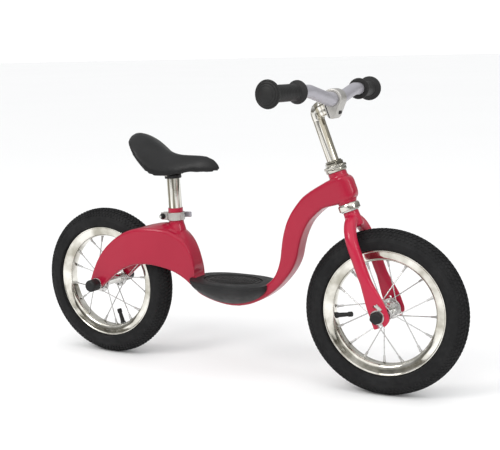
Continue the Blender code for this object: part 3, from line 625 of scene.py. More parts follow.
@dataclass(frozen=True)
class Plated(Finish):
    """Bright plating that is slightly wavy where it was rolled, with darker painted reflection patches in its
    colour.
    """

    colour: Point = (0.80, 0.79, 0.76)
    # Colour of the darker patches: a painted reflection of dim surroundings
    cloud: Point = (0.70, 0.69, 0.65)
    low: float = 0.05
    high: float = 0.16
    wave: float = 0.0003
    wave_scale: float = 38.0

    def lay(self, bench: Bench) -> None:
        """Lay the plating, its painted reflection patches and its waves."""
        bench.set(Metallic=1.0)
        # The cloudy mix of the two colours paints dark reflections of the surroundings into the plating
        painted_reflection_patches = bench.ranged(bench.noise(24.0, 4.0), (0.36, 0.60), (0.0, 1.0))
        bench.tinted(painted_reflection_patches, self.cloud, self.colour)
        bench.roughened(bench.noise(60.0, 6.0), self.low, self.high)
        bench.raised(bench.noise(self.wave_scale, 1.0), self.wave)


@dataclass(frozen=True)
class DrawnChrome(Finish):
    """Chrome on drawn tube, with fine drawn lines along its length, and dark painted reflection streaks along
    the same lines in its colour.
    """

    colour: Point = (0.86, 0.84, 0.78)
    # Colour of the dark streaks: a painted reflection
    line: Point = (0.20, 0.18, 0.13)

    def lay(self, bench: Bench) -> None:
        """Lay the plating, the painted reflection streaks and the drawing lines."""
        bench.set(Metallic=1.0)
        drawn_lines_and_painted_streaks = bench.noise(150.0, 2.0, bench.stretched((1.0, 1.0, 0.03)))
        # The streaks in the colour are painted reflections; the bump below gives the real drawing lines
        bench.tinted(bench.ranged(drawn_lines_and_painted_streaks, (0.42, 0.58), (0.0, 1.0)), self.line, self.colour)
        bench.roughened(bench.noise(60.0, 6.0), 0.06, 0.16)
        bench.raised(drawn_lines_and_painted_streaks, 0.0004)


@dataclass(frozen=True)
class SatinMetal(Finish):
    """Metal with a fine even grain."""

    colour: Point = (0.60, 0.59, 0.62)
    cloud: Point = (0.54, 0.53, 0.56)
    metallic: float = 0.75
    low: float = 0.34
    high: float = 0.46
    grain: float = 900.0

    def lay(self, bench: Bench) -> None:
        """Lay the metal and its grain."""
        bench.set(Metallic=self.metallic)
        bench.tinted(bench.noise(30.0, 4.0), self.cloud, self.colour)
        bench.roughened(bench.noise(140.0, 4.0), self.low, self.high)
        bench.raised(bench.noise(self.grain, 2.0), 0.00004)


@dataclass(frozen=True)
class Moulded(Finish):
    """Moulded plastic or rubber with a fine spark-eroded texture."""

    colour: Point = (0.010, 0.010, 0.0105)
    dust: Point = (0.018, 0.018, 0.0185)
    low: float = 0.42
    high: float = 0.58
    grain: float = 1100.0
    depth: float = 0.00007

    def lay(self, bench: Bench) -> None:
        """Lay the colour, its dusting and the moulded texture."""
        bench.set(Specular_IOR_Level=0.3)
        bench.tinted(bench.ranged(bench.noise(22.0, 6.0), (0.45, 0.75), (0.0, 1.0)), self.colour, self.dust)
        bench.roughened(bench.noise(80.0, 5.0), self.low, self.high)
        bench.raised(bench.added(bench.noise(self.grain, 2.0), bench.noise(180.0, 3.0), 0.6), self.depth)


@dataclass(frozen=True)
class TyreRubber(Finish):
    """Vulcanised rubber with a dusty bloom and fine mould marks."""

    colour: Point = (0.0075, 0.0075, 0.008)
    bloom: Point = (0.015, 0.015, 0.0155)

    def lay(self, bench: Bench) -> None:
        """Lay the rubber, its bloom and its mould marks."""
        bench.set(Specular_IOR_Level=0.2)
        dusting = bench.added(bench.noise(16.0, 6.0), bench.noise(130.0, 4.0), 0.5)
        bench.tinted(bench.ranged(dusting, (0.62, 0.95), (0.0, 1.0)), self.colour, self.bloom)
        bench.roughened(bench.noise(60.0, 5.0), 0.58, 0.80)
        bench.raised(bench.added(bench.noise(700.0, 3.0), bench.noise(150.0, 2.0), 0.8), 0.00012)


@dataclass(frozen=True)
class Vinyl(Finish):
    """Upholstery vinyl with a fine leather grain."""

    colour: Point = (0.0065, 0.0065, 0.0068)
    worn: Point = (0.011, 0.011, 0.0115)

    def lay(self, bench: Bench) -> None:
        """Lay the vinyl, its wear and its grain."""
        bench.set(Specular_IOR_Level=0.25, Sheen_Weight=0.02, Sheen_Roughness=0.4)
        bench.tinted(bench.ranged(bench.noise(14.0, 5.0), (0.4, 0.75), (0.0, 1.0)), self.colour, self.worn)
        bench.roughened(bench.noise(45.0, 4.0), 0.36, 0.50)
        grain = bench.added(bench.cells(620.0), bench.noise(240.0, 4.0), 0.7)
        bench.raised(grain, 0.00016)


RED = SprayedPaint("crimson_enamel")
# A lighter copy of the frame's crimson enamel, painted light: the fork is the same paint, shown brighter
# where it is better lit
FORK_RED_PAINTED_LIGHTER = SprayedPaint("crimson_enamel_fork_painted_lighter", colour=(0.48, 0.011, 0.046), shade=(0.41, 0.008, 0.039))
# The plated and drawn chromes below carry painted reflections in their colour: dark patches from the cloud
# colour, dark streaks from the line colour
CHROME = Plated("chrome_plate")
RIM_CHROME = Plated("rolled_rim_chrome", colour=(0.84, 0.82, 0.76), cloud=(0.42, 0.40, 0.34), wave=0.0012,
                    wave_scale=26.0, low=0.04, high=0.14)
HEADSET_CHROME = Plated("headset_chrome", colour=(0.66, 0.64, 0.58), cloud=(0.16, 0.15, 0.12), wave=0.0006,
                        wave_scale=60.0)
POST_CHROME = DrawnChrome("drawn_post_chrome")
STEM_CHROME = DrawnChrome("drawn_stem_chrome", colour=(0.84, 0.82, 0.77), line=(0.36, 0.33, 0.26))
SPOKE_WIRE = SatinMetal("spoke_wire", colour=(0.62, 0.61, 0.60), cloud=(0.50, 0.50, 0.49), metallic=1.0,
                        low=0.22, high=0.34)
NIPPLE = SatinMetal("nickel_nipple", colour=(0.55, 0.54, 0.53), cloud=(0.45, 0.45, 0.44), metallic=1.0,
                    low=0.28, high=0.42)
BAR_SILVER = SatinMetal("bar_silver", colour=(0.44, 0.43, 0.47), cloud=(0.39, 0.38, 0.41), metallic=0.55,
                        low=0.40, high=0.50)
CLAMP_SILVER = SatinMetal("cast_clamp_silver", colour=(0.50, 0.485, 0.46), cloud=(0.42, 0.41, 0.39),
                          metallic=0.80, low=0.34, high=0.46)
ZINC = SatinMetal("zinc_plate", colour=(0.66, 0.65, 0.62), cloud=(0.52, 0.52, 0.50), metallic=1.0, low=0.22,
                  high=0.36)
DARK_STEEL = SatinMetal("black_oxide_steel", colour=(0.05, 0.05, 0.05), cloud=(0.03, 0.03, 0.03),
                        metallic=0.9, low=0.35, high=0.50)
BLACK_PLASTIC = Moulded("black_moulding")
TREAD_RUBBER = Moulded("footrest_rubber", colour=(0.016, 0.0155, 0.0155), dust=(0.032, 0.030, 0.030),
                       low=0.50, high=0.70)
GRIP_RUBBER = Moulded("grip_rubber", colour=(0.010, 0.010, 0.010), dust=(0.018, 0.0175, 0.017), low=0.46,
                      high=0.62, depth=0.0001)
TYRE = TyreRubber("tyre_rubber_finish")
VINYL = Vinyl("saddle_vinyl_finish")


# ---------------------------------------------------------------------------------------------
# Frame
# ---------------------------------------------------------------------------------------------


@dataclass
class WeldedFrame:
    """The crimson frame: one long pressed body, the head tube and the seat tube."""

    half_width: float = 0.018
    beam_edge: float = 0.0052
    head_tube: tuple[float, float] = (0.1993, 0.2570)
    head_tube_r: float = 0.0165
    seat_tube: tuple[float, float] = (-0.030, 0.0340)
    seat_tube_r: float = 0.0143
    seat_bore_r: float = 0.0129

    def nose_rows(self) -> list[Point]:
        """Give the sleeve round the head tube, from its rounded nose back to the beam."""
        rows = []
        for ahead, low, high, half in ((0.0238, 0.2160, 0.2350, 0.0040), (0.0232, 0.2128, 0.2385, 0.0072),
                                       (0.0214, 0.2090, 0.2422, 0.0105), (0.0184, 0.2062, 0.2450, 0.0133),
                                       (0.0142, 0.2042, 0.2470, 0.0156), (0.0086, 0.2032, 0.2480, 0.0172),
                                       (0.0020, 0.2030, 0.2480, 0.0179), (-0.0100, 0.2030, 0.2480, 0.0180),
                                       (-0.0180, 0.2032, 0.2478, 0.0180)):
            rows.append((*AXES.along_head(ahead, high), *AXES.along_head(ahead, low), half, 0.0,
                         min(0.0060, half * 0.8), min(0.0060, half * 0.8)))
        return rows

    def beam_rows(self) -> list[Point]:
        """Give the beam, each row its upper edge and the lower edge across from it."""
        pairs = [((0.4700, 0.3590), (0.4870, 0.3245)), ((0.4560, 0.3500), (0.4760, 0.3172)),
                 ((0.4425, 0.3391), (0.4660, 0.3083)), ((0.4278, 0.3212), (0.4550, 0.2960)),
                 ((0.4173, 0.3047), (0.4463, 0.2804)), ((0.4096, 0.2864), (0.4401, 0.2644)),
                 ((0.4041, 0.2656), (0.4355, 0.2460)), ((0.4009, 0.2453), (0.4318, 0.2294)),
                 ((0.3980, 0.2245), (0.4240, 0.2115)), ((0.3908, 0.2020), (0.4120, 0.1938)),
                 ((0.3805, 0.1860), (0.3940, 0.1735)), ((0.3640, 0.1725), (0.3750, 0.1572)),
                 ((0.3450, 0.1605), (0.3530, 0.1436)), ((0.3230, 0.1495), (0.3280, 0.1335)),
                 ((0.3000, 0.1440), (0.3020, 0.1289)), ((0.2780, 0.1445), (0.2800, 0.1293)),
                 ((0.2540, 0.1515), (0.2580, 0.1328)), ((0.2330, 0.1620), (0.2400, 0.1378))]
        ends = (self.half_width, 0.0, self.beam_edge, self.beam_edge)
        return [(*upper, *lower, *ends) for upper, lower in pairs]

    def hump_rows(self) -> list[Point]:
        """Give the hump under the seat and the arms behind it."""
        shell = [((0.2152, 0.1773), (0.2244, 0.1440), 0.0180, 0.0, 0.0055),
                 ((0.2140, 0.1950), (0.2139, 0.1520), 0.0183, 0.0, 0.0060),
                 ((0.2098, 0.2120), (0.2050, 0.1590), 0.0188, 0.0, 0.0065),
                 ((0.2034, 0.2290), (0.1955, 0.1670), 0.0200, 0.001, 0.0072),
                 ((0.1944, 0.2435), (0.1820, 0.1760), 0.0222, 0.003, 0.0078),
                 ((0.1832, 0.2535), (0.1670, 0.1835), 0.0252, 0.006, 0.0080),
                 ((0.1708, 0.2603), (0.1510, 0.1890), 0.0292, 0.009, 0.0080),
                 ((0.1580, 0.2655), (0.1350, 0.1930), 0.0340, 0.010, 0.0078),
                 ((0.1390, 0.2675), (0.1180, 0.1952), 0.0380, 0.007, 0.0072),
                 ((0.1180, 0.2675), (0.1010, 0.1945), 0.0415, 0.003, 0.0066),
                 ((0.0947, 0.2640), (0.0840, 0.1912), 0.0437, 0.001, 0.0060),
                 ((0.0754, 0.2582), (0.0680, 0.1848), 0.0450, 0.0, 0.0055),
                 ((0.0556, 0.2479), (0.0520, 0.1758), 0.0450, 0.0, 0.0050),
                 ((0.0352, 0.2330), (0.0370, 0.1645), 0.0450, 0.0, 0.0045),
                 ((0.0178, 0.2157), (0.0240, 0.1530), 0.0450, 0.0, 0.0040),
                 ((0.0036, 0.1956), (0.0120, 0.1440), 0.0450, 0.0, 0.0035),
                 ((-0.0077, 0.1730), (0.0030, 0.1375), 0.0450, 0.0, 0.0032),
                 ((-0.0156, 0.1531), (-0.0050, 0.1335), 0.0450, 0.0, 0.0030)]
        return [(*top, *low, half, crown, edge, min(edge, 0.0050)) for top, low, half, crown, edge in shell]

    @staticmethod
    def section(row: list[float]) -> list[Vector]:
        """Give the closed section of one row.

        Args:
            row: Upper edge, lower edge, half-width, crown, and upper and lower edge radius.

        Returns:
            The section's points.
        """
        upper, lower = Vector((row[0], 0, row[1])), Vector((row[2], 0, row[3]))
        half, crown, top_r, low_r = row[4:8]
        rise = (upper - lower).normalized()
        tall = (upper - lower).length
        half_points = [(half - low_r) * step / 3 for step in range(3)]
        outline = [(out, 0.0) for out in half_points]
        for step in range(6):
            turn = math.pi / 2 * step / 5
            outline.append((half - low_r + low_r * math.sin(turn), low_r - low_r * math.cos(turn)))
        for step in range(1, 8):
            outline.append((half, low_r + (tall - low_r - top_r) * step / 8))
        for step in range(9):
            turn = math.pi / 2 * step / 8
            outline.append((half - top_r + top_r * math.cos(turn), tall - top_r + top_r * math.sin(turn)))
        flat = half - top_r
        for step in range(1, 7):
            out = flat * (1 - step / 6)
            outline.append((out, tall + crown * (1 - (out / flat) ** 2)))
        whole = outline + [(-out, up) for out, up in outline[-2:0:-1]]
        return [lower + Vector((0, out, 0)) + rise * up for out, up in whole]

    def wheel_slot(self) -> Shape:
        """Make the cutter that leaves room for the rear wheel."""
        side = [(0.0, 0.036), (0.095, 0.036), (0.122, 0.0305), (0.146, 0.0275), (0.154, 0.0240),
                (0.157, 0.0170)]
        profile = eased(side + [(radius, -out) for radius, out in side[::-1]], 0.004)
        return moved(lathe(profile, 144), AXES.bike.inverted() @ AXES.rear_axle)

    def build(self) -> None:
        """Build the painted frame."""
        rows = smoothed(self.nose_rows() + self.beam_rows() + self.hump_rows(), 4)
        blank = skin([self.section(row) for row in rows])
        axle = Matrix.Translation((0, 0, AXES.axle_height))
        slot = Matrix.Translation((-0.0285, 0, 0.1365)) @ Matrix.Rotation(math.radians(-22), 4, "Y")
        dropout = box((0.060, 0.12, 0.0106), slot)
        hole = moved(rod(0.0053, -0.08, 0.08, 32), axle @ ACROSS)
        shape = worked(blank, [self.wheel_slot(), dropout, hole])
        fit("frame_body", shape, RED, Fitting(AXES.bike, Body.FRAME, "red_paint",
                                              ("main_beam", "rear_arm_right", "rear_arm_left")), crease=30)
        self.build_tubes()

    def build_tubes(self) -> None:
        """Build the head tube and the seat tube, each with its weld."""
        low, high = self.head_tube
        radius = self.head_tube_r
        profile = eased([(0.0143, high), (radius - 0.0004, high), (radius, high - 0.0006), (radius, 0.2500),
                         (radius + 0.0012, 0.2476), (radius + 0.0012, 0.2034), (radius, 0.2016),
                         (radius, low + 0.0006), (radius - 0.0004, low), (0.0143, low)], 0.0006)
        fit("head_tube_shell", lathe(profile, 72, closed=True), RED,
            Fitting(AXES.head, Body.FRAME, "red_paint", ("head_tube",)))
        low, high = self.seat_tube
        radius, bore = self.seat_tube_r, self.seat_bore_r
        profile = eased([(bore, high), (radius, high, 0.0006), (radius, 0.0050, 0.006),
                         (0.0168, -0.0035, 0.004), (0.0180, -0.0095), (0.0180, low), (bore, low)],
                        0.0006, steps=6)
        slit = box((0.020, 0.0018, 0.030), Matrix.Translation((-0.014, 0, high - 0.0105)))
        fit("seat_tube_shell", worked(lathe(profile, 72, closed=True), [slit]), RED,
            Fitting(AXES.seat, Body.FRAME, "red_paint", ("seat_tube",)))


@dataclass
class SeatClamp:
    """The quick-release clamp round the top of the seat tube."""

    low: float = 0.0105
    high: float = 0.0255
    inner_r: float = 0.0146
    outer_r: float = 0.0170
    bolt_back: float = -0.0262

    def build(self) -> None:
        """Build the band, the nut on the skewer and the lever."""
        middle = (self.low + self.high) / 2
        rim = [(self.inner_r, self.high), (self.outer_r, self.high), (self.outer_r, self.low),
               (self.inner_r, self.low)]
        band = lathe(eased(rim, 0.0007, closed=True), 72, closed=True)
        ears = [box((0.0172, 0.0042, self.high - self.low - 0.0006),
                    Matrix.Translation((-0.0228, side * 0.0042, middle)), 0.0016) for side in (-1, 1)]
        across = Matrix.Translation((self.bolt_back, 0, middle)) @ ACROSS
        bore = moved(rod(0.0029, -0.03, 0.03, 40), across)
        gap = box((0.030, 0.0030, 0.030), Matrix.Translation((-0.0275, 0, middle)))
        band = worked(worked(band, ears, "UNION"), [gap, bore])
        fit("clamp_band", band, CLAMP_SILVER,
            Fitting(AXES.seat, Body.FRAME, "zinc_steel", ("seat_clamp_band",)))
        nut = eased([(0, 0.0128), (0.0036, 0.0128), (0.0046, 0.0118), (0.0046, 0.0080), (0.0056, 0.0078),
                     (0.0056, 0.0069), (0, 0.0069)], 0.0006)
        fit("clamp_nut", moved(lathe(nut, 40), across), BLACK_PLASTIC,
            Fitting(AXES.seat, Body.FRAME, "black_plastic", ("seat_clamp_nut",)))
        self.build_lever(middle)

    def build_lever(self, middle: float) -> None:
        """Build the cam lever.

        Args:
            middle: Height of the band's middle on the seat axis.
        """
        hinge = AXES.seat @ Matrix.Translation((self.bolt_back, 0.0195, middle))
        cam = lathe(eased([(0, -0.0055), (0.0062, -0.0055), (0.0062, 0.0055), (0, 0.0055)], 0.0010), 48)
        line = smoothed([(0.0, 0.0008, 0.0038), (0.0120, 0.0009, 0.0037), (0.0250, 0.0016, 0.0035),
                         (0.0380, 0.0018, 0.0037), (0.0470, 0.0014, 0.0030)], 6)
        outline = [(x, y - half) for x, y, half in line] + [(x, y + half) for x, y, half in line[::-1]]
        blade = slab(eased(outline, 0.0022, closed=True), -0.0050, 0.0050, 0.0014)
        pocket = box((0.0112, 0.0220, 0.0064), Matrix.Translation((-0.0024, -0.0030, 0)))
        lever = worked(melted(gathered(cam, blade), 0.0005, 4), [pocket])
        fit("clamp_lever_arm", lever, BAR_SILVER,
            Fitting(hinge, Body.LEVER, "zinc_steel", ("seat_clamp_lever",)))


@dataclass
class Footrest:
    """The black moulded footrest in the beam's dip, with a ribbed rubber tread."""

    deck: float = 0.1750
    middle: float = 0.2895
    half_length: float = 0.0830
    widest: float = 0.0560
    lip: float = 0.0062

    def rim(self, along: float) -> float:
        """Give half the width of the rim at a share of the length from the middle."""
        return 0.0150 + (self.widest - 0.0150) * max(1 - abs(along) ** 2.6, 0.0) ** 0.5

    def build(self) -> None:
        """Build the tray and the tread."""
        rings = []
        for step in range(57):
            along = -math.cos(math.pi * step / 56)
            rim = self.rim(along)
            keel = self.deck - 0.0045 - 0.0370 * max(1 - along * along, 0.0) ** 0.62
            keel_half = min(0.0203, rim - 0.0006)
            lip = min(self.lip, (self.deck - keel) * 0.5)
            side = [(keel_half, keel)]
            for rise in range(1, 9):
                share = rise / 8
                half = keel_half + (rim - 0.0014 - keel_half) * math.sin(share * math.pi / 2) ** 0.9
                side.append((half, keel + (self.deck - lip - keel) * share))
            side += [(rim - 0.0002, self.deck - lip + 0.0004), (rim, self.deck - lip + 0.0014),
                     (rim, self.deck - 0.0022), (rim - 0.0006, self.deck - 0.0007),
                     (rim - 0.0022, self.deck)]
            ahead = self.middle + self.half_length * along
            ring = [Vector((ahead, -out, up)) for out, up in side]
            ring += [Vector((ahead, out, up)) for out, up in side[::-1]]
            rings.append(ring)
        well = slab(self.oval(0.0600, 0.0400), self.deck - 0.0040, self.deck + 0.01, 0.0003)
        fit("footrest_tray", worked(skin(rings), [well]), BLACK_PLASTIC,
            Fitting(AXES.bike, Body.FRAME, "black_plastic", ("footrest_base",)), crease=32)
        self.build_tread()

    def oval(self, half_long: float, half_wide: float) -> list[Point]:
        """Give an oval outline about the footrest's middle."""
        return [(self.middle + half_long * ahead, half_wide * out) for ahead, out in circle(1.0, 72)]

    def build_tread(self) -> None:
        """Build the tread pad: a raised border and slanted grip bars."""
        low = self.deck - 0.0038
        parts = [slab(self.oval(0.0594, 0.0394), low, self.deck - 0.0016, 0.0006)]
        outer, inner = self.oval(0.0560, 0.0362), self.oval(0.0528, 0.0330)
        foot, crest = self.deck - 0.0020, self.deck - 0.0004
        border = []
        for x_out, x_in in zip(outer, inner):
            steps = ((0.0, foot), (0.15, crest), (0.85, crest), (1.0, foot))
            border.append([Vector((*Vector(x_out).lerp(Vector(x_in), share), height))
                           for share, height in steps])
        parts.append(skin(border, Ends.JOINED))
        for column in range(-7, 8):
            x = 0.0062 * column
            reach = 0.0285 * math.sqrt(max(1 - (x / 0.0490) ** 2, 0.0))
            long = reach - 0.0030
            for sign in (-1, 1):
                spot = Matrix.Translation((self.middle + x, sign * (0.0022 + long / 2), self.deck - 0.0012))
                lean = Matrix.Rotation(math.radians(12 * sign), 4, "Z")
                parts.append(box((0.0028, long, 0.0016), spot @ lean, 0.0005))
        fit("footrest_tread_pad", gathered(*parts), TREAD_RUBBER,
            Fitting(AXES.bike, Body.FRAME, "black_rubber", ("footrest_pad",)))


# ---------------------------------------------------------------------------------------------
# Headset and fork
# ---------------------------------------------------------------------------------------------


@dataclass
class Headset:
    """Pressed cups on the head tube, and the race and locknut on the steerer; the washer is not made here."""

    low: float = 0.1993
    high: float = 0.2570

    def build(self) -> None:
        """Build the cups, the top race and the locknut."""
        high, low = self.high, self.low
        upper = eased([(0.0140, high + 0.0003), (0.0178, high + 0.0003), (0.0190, high + 0.0030),
                       (0.0190, high + 0.0066), (0.0176, high + 0.0070), (0.0174, high + 0.0030),
                       (0.0140, high + 0.0030)], 0.0006, closed=True)
        fit("upper_cup", lathe(upper, 72, closed=True), HEADSET_CHROME,
            Fitting(AXES.head, Body.FRAME, "chrome", ("headset_upper_cup",)))
        lower = eased([(0.0140, low - 0.0003), (0.0178, low - 0.0003), (0.0194, low - 0.0035),
                       (0.0194, low - 0.0115), (0.0180, low - 0.0119), (0.0178, low - 0.0060),
                       (0.0140, low - 0.0060)], 0.0007, closed=True)
        fit("lower_cup", lathe(lower, 72, closed=True), HEADSET_CHROME,
            Fitting(AXES.head, Body.FRAME, "chrome", ("headset_lower_cup",)))
        self.build_race(high)
        self.build_locknut(high)

    @staticmethod
    def build_race(high: float) -> None:
        """Build the knurled top race.

        Args:
            high: Height of the head tube's top.
        """
        profile = [(0.0131, high + 0.0073), (0.0198, high + 0.0073), (0.0202, high + 0.0083),
                   (0.0202, high + 0.0110), (0.0192, high + 0.0120), (0.0131, high + 0.0120)]
        race = lathe(profile, 192, closed=True, rule=lambda turn, radius, height: radius - (
            0.0003 if radius > 0.0200 and math.sin(48 * turn) > 0 else 0.0))
        fit("knurled_race", race, HEADSET_CHROME,
            Fitting(AXES.fork, Body.FORK, "chrome", ("headset_top_race",)))

    @staticmethod
    def build_locknut(high: float) -> None:
        """Build the hexagon locknut with its round skirt.

        Args:
            high: Height of the head tube's top.
        """
        hexagon = slab(eased(circle(0.0174, 6), 0.0016, closed=True), high + 0.0123, high + 0.0186, 0.0007)
        skirt = lathe(eased([(0, high + 0.0150), (0.0142, high + 0.0150), (0.0142, high + 0.0212),
                             (0, high + 0.0212)], 0.0009), 64)
        bore = rod(0.0131, high, high + 0.04, 64)
        nut = worked(worked(hexagon, [skirt], "UNION"), [bore])
        fit("hexagon_locknut", nut, HEADSET_CHROME,
            Fitting(AXES.fork, Body.FORK, "chrome", ("headset_locknut",)))


@dataclass
class Fork:
    """The painted fork: a bent tube flattened into slotted paddles, under a welded neck."""

    blade_out: float = 0.0455
    arch_top: float = 0.1690
    steerer_r: float = 0.0127
    paddle_half: float = 0.0036

    def stations(self) -> list[Point]:
        """Give one side of the bent tube: out, up, turn, ahead, wide and deep."""
        straight = self.arch_top - self.blade_out
        rows: list[Point] = []
        for step in range(7):
            turn = math.radians(15 * step)
            thick = 0.0120 - 0.0014 * math.sin(turn)
            out, up = self.blade_out * math.sin(turn), straight + self.blade_out * math.cos(turn)
            rows.append((out, up, turn, 0.0, thick, thick))
        flat = self.paddle_half
        for up, ahead, wide, deep in ((0.1050, 0.0, 0.0106, 0.0106), (0.0800, 0.0, 0.0106, 0.0102),
                                      (0.0620, 0.0005, 0.0106, 0.0086), (0.0450, 0.0012, 0.0128, 0.0062),
                                      (0.0300, 0.0022, 0.0152, 0.0043), (0.0180, 0.0028, 0.0166, flat),
                                      (0.0050, 0.0030, 0.0168, flat), (-0.0060, 0.0028, 0.0167, flat),
                                      (-0.0120, 0.0018, 0.0156, flat), (-0.0165, -0.0005, 0.0132, flat),
                                      (-0.0190, -0.0030, 0.0105, flat)):
            rows.append((self.blade_out, up, math.pi / 2, ahead, wide, deep))
        return rows

    @staticmethod
    def section(row: list[float], side: int) -> list[Vector]:
        """Give the oval section of one row on one side.

        Args:
            row: Out, up, turn, ahead, wide and deep.
            side: 1 for the left blade and -1 for the right.

        Returns:
            The section's points.
        """
        out, up, turn, ahead, wide, deep = row
        outward = Vector((0, side * math.sin(turn), math.cos(turn)))
        middle = Vector((ahead, side * out, up))
        flatness = 1.0 - 0.45 * (1 - min(deep / wide, 1.0))
        ring = []
        for step in range(36):
            angle = 2 * math.pi * step / 36
            cosine, sine = math.cos(angle), math.sin(angle)
            along = math.copysign(abs(cosine) ** flatness, cosine)
            through = math.copysign(abs(sine) ** flatness, sine)
            ring.append(middle + Vector((wide * along, 0, 0)) + outward * deep * through)
        return ring if side > 0 else ring[::-1]

    def build(self) -> None:
        """Build the fork in one welded piece, and its steerer."""
        fine = smoothed(self.stations(), 5)
        left = [self.section(row, 1) for row in fine]
        right = [[Vector((p.x, -p.y, p.z)) for p in ring] for ring in left]
        blades = skin(left[::-1] + right[1:])
        neck = lathe(smoothed([(0.0001, 0.1540), (0.0120, 0.1560), (0.0152, 0.1600), (0.0148, 0.1680),
                               (0.0141, 0.1760), (0.0137, 0.1810), (0.0128, 0.1852),
                               (0.0001, 0.1853)], 4), 64)
        solid = melted(gathered(blades, neck), 0.0009, 8)
        tools = []
        for side in (-1, 1):
            spot = Matrix.Translation((0, side * self.blade_out, 0))
            tools.append(box((0.0104, 0.02, 0.05), spot @ Matrix.Translation((0, 0, -0.0250))))
            tools.append(moved(rod(0.0052, -0.01, 0.01, 40), spot @ ACROSS))
            tab = spot @ Matrix.Translation((0.0015, 0, 0.0185)) @ ACROSS
            tools.append(moved(rod(0.0027, -0.01, 0.01, 32), tab))
        # The fork takes the lighter painted-light copy of the frame's enamel
        fit("fork_blades", worked(solid, tools), FORK_RED_PAINTED_LIGHTER,
            Fitting(AXES.fork, Body.FORK, "red_paint", ("fork",)), crease=40)
        steerer = lathe(eased([(0.0112, 0.1850), (self.steerer_r, 0.1850), (self.steerer_r, 0.2745),
                               (0.0112, 0.2745)], 0.0004, closed=True), 64, closed=True)
        fit("steerer_tube", steerer, ZINC, Fitting(AXES.fork, Body.FORK, "chrome"))


# ---------------------------------------------------------------------------------------------
# Stem, handlebar and grips
# ---------------------------------------------------------------------------------------------


@dataclass
class Stem:
    """The chrome quill and the cast clamp that holds the bar."""

    quill_r: float = 0.01055
    clamp_ahead: float = 0.0405
    clamp_up: float = 0.3775
    ring_r: float = 0.0180
    lug_r: float = 0.0092
    bar_r: float = 0.0127

    def build(self) -> None:
        """Build the quill, the clamp and its two bolts."""
        high, low = 0.3560, 0.2165
        tube = lathe(eased([(0, high), (self.quill_r, high), (self.quill_r, low), (0, low)], 0.0005), 72)
        corners = [Vector((0, 0, 0.3520)), Vector((0, 0, 0.3725)), Vector((0.0300, 0, 0.3750))]
        knee = pipe(bent(corners, 0.0120, 12), [self.quill_r + 0.0004], 48)
        throat = box((0.0280, 0.0190, 0.0200), Matrix.Translation((0.0110, 0, 0.3660)), 0.0060)
        elbow = melted(gathered(knee, throat), 0.0008, 10)
        well = rod(0.0046, 0.3770, 0.41, 40)
        ring_room = self.across(rod(self.ring_r + 0.0003, -0.03, 0.03, 72))
        face = box((0.03, 0.06, 0.08), Matrix.Translation((0.0380, 0, 0.3500)))
        quill = gathered(tube, worked(elbow, [well, ring_room, face]))
        fit("quill_stem", quill, STEM_CHROME, Fitting(AXES.bars, Body.STEM, "chrome", ("stem",)), crease=34)
        self.build_clamp()
        self.build_bolts()

    def across(self, shape: Shape) -> Shape:
        """Turn a shape made about Z so that it lies along the bar at the clamp."""
        spot = Matrix.Translation((self.clamp_ahead, 0, self.clamp_up))
        return moved(shape, spot @ ACROSS)

    def build_clamp(self) -> None:
        """Build the clamp: a ring that runs down into a lug for the pinch bolt."""
        lug = Vector((-0.0095, -0.0230))
        way = lug.normalized()
        tilt = math.acos((self.ring_r - self.lug_r) / lug.length)
        start = math.atan2(way.y, way.x)
        outline = []
        for step in range(49):
            turn = start + tilt + (2 * math.pi - 2 * tilt) * step / 48
            outline.append((self.ring_r * math.cos(turn), self.ring_r * math.sin(turn)))
        for step in range(17):
            turn = start - tilt + 2 * tilt * step / 16
            outline.append((lug.x + self.lug_r * math.cos(turn), lug.y + self.lug_r * math.sin(turn)))
        clamp = slab(outline, -0.0135, 0.0135, 0.0022, 5)
        bore = rod(self.bar_r + 0.0002, -0.03, 0.03, 64)
        slit = box((0.0018, 0.034, 0.06), Matrix.Translation((-0.0150, -0.0170, 0)))
        fit("bar_clamp", self.across(worked(clamp, [bore, slit])), CLAMP_SILVER,
            Fitting(AXES.bars, Body.STEM, "chrome"))

    def build_bolts(self) -> None:
        """Build the pinch bolt and the expander bolt, each with a hexagon socket."""
        for name, head_r, top, low, axes, node in (
                ("pinch_bolt", 0.0052, 0.0440, 0.0380,
                 Matrix.Translation((0, 0, 0.3545)) @ Matrix.Rotation(math.radians(90), 4, "Y"),
                 "stem_clamp_bolt"),
                ("expander_bolt_head", 0.0040, 0.3800, 0.3768, Matrix.Identity(4), "stem_expander_bolt")):
            head = lathe(eased([(0, top), (head_r, top), (head_r, low), (0, low)], 0.0008), 48)
            socket = slab(circle(0.0026, 6), top - 0.0028, top + 0.01, 0.0)
            fit(name, worked(head, [socket]), DARK_STEEL,
                Fitting(AXES.bars @ axes, Body.STEM, "zinc_steel", (node,)))


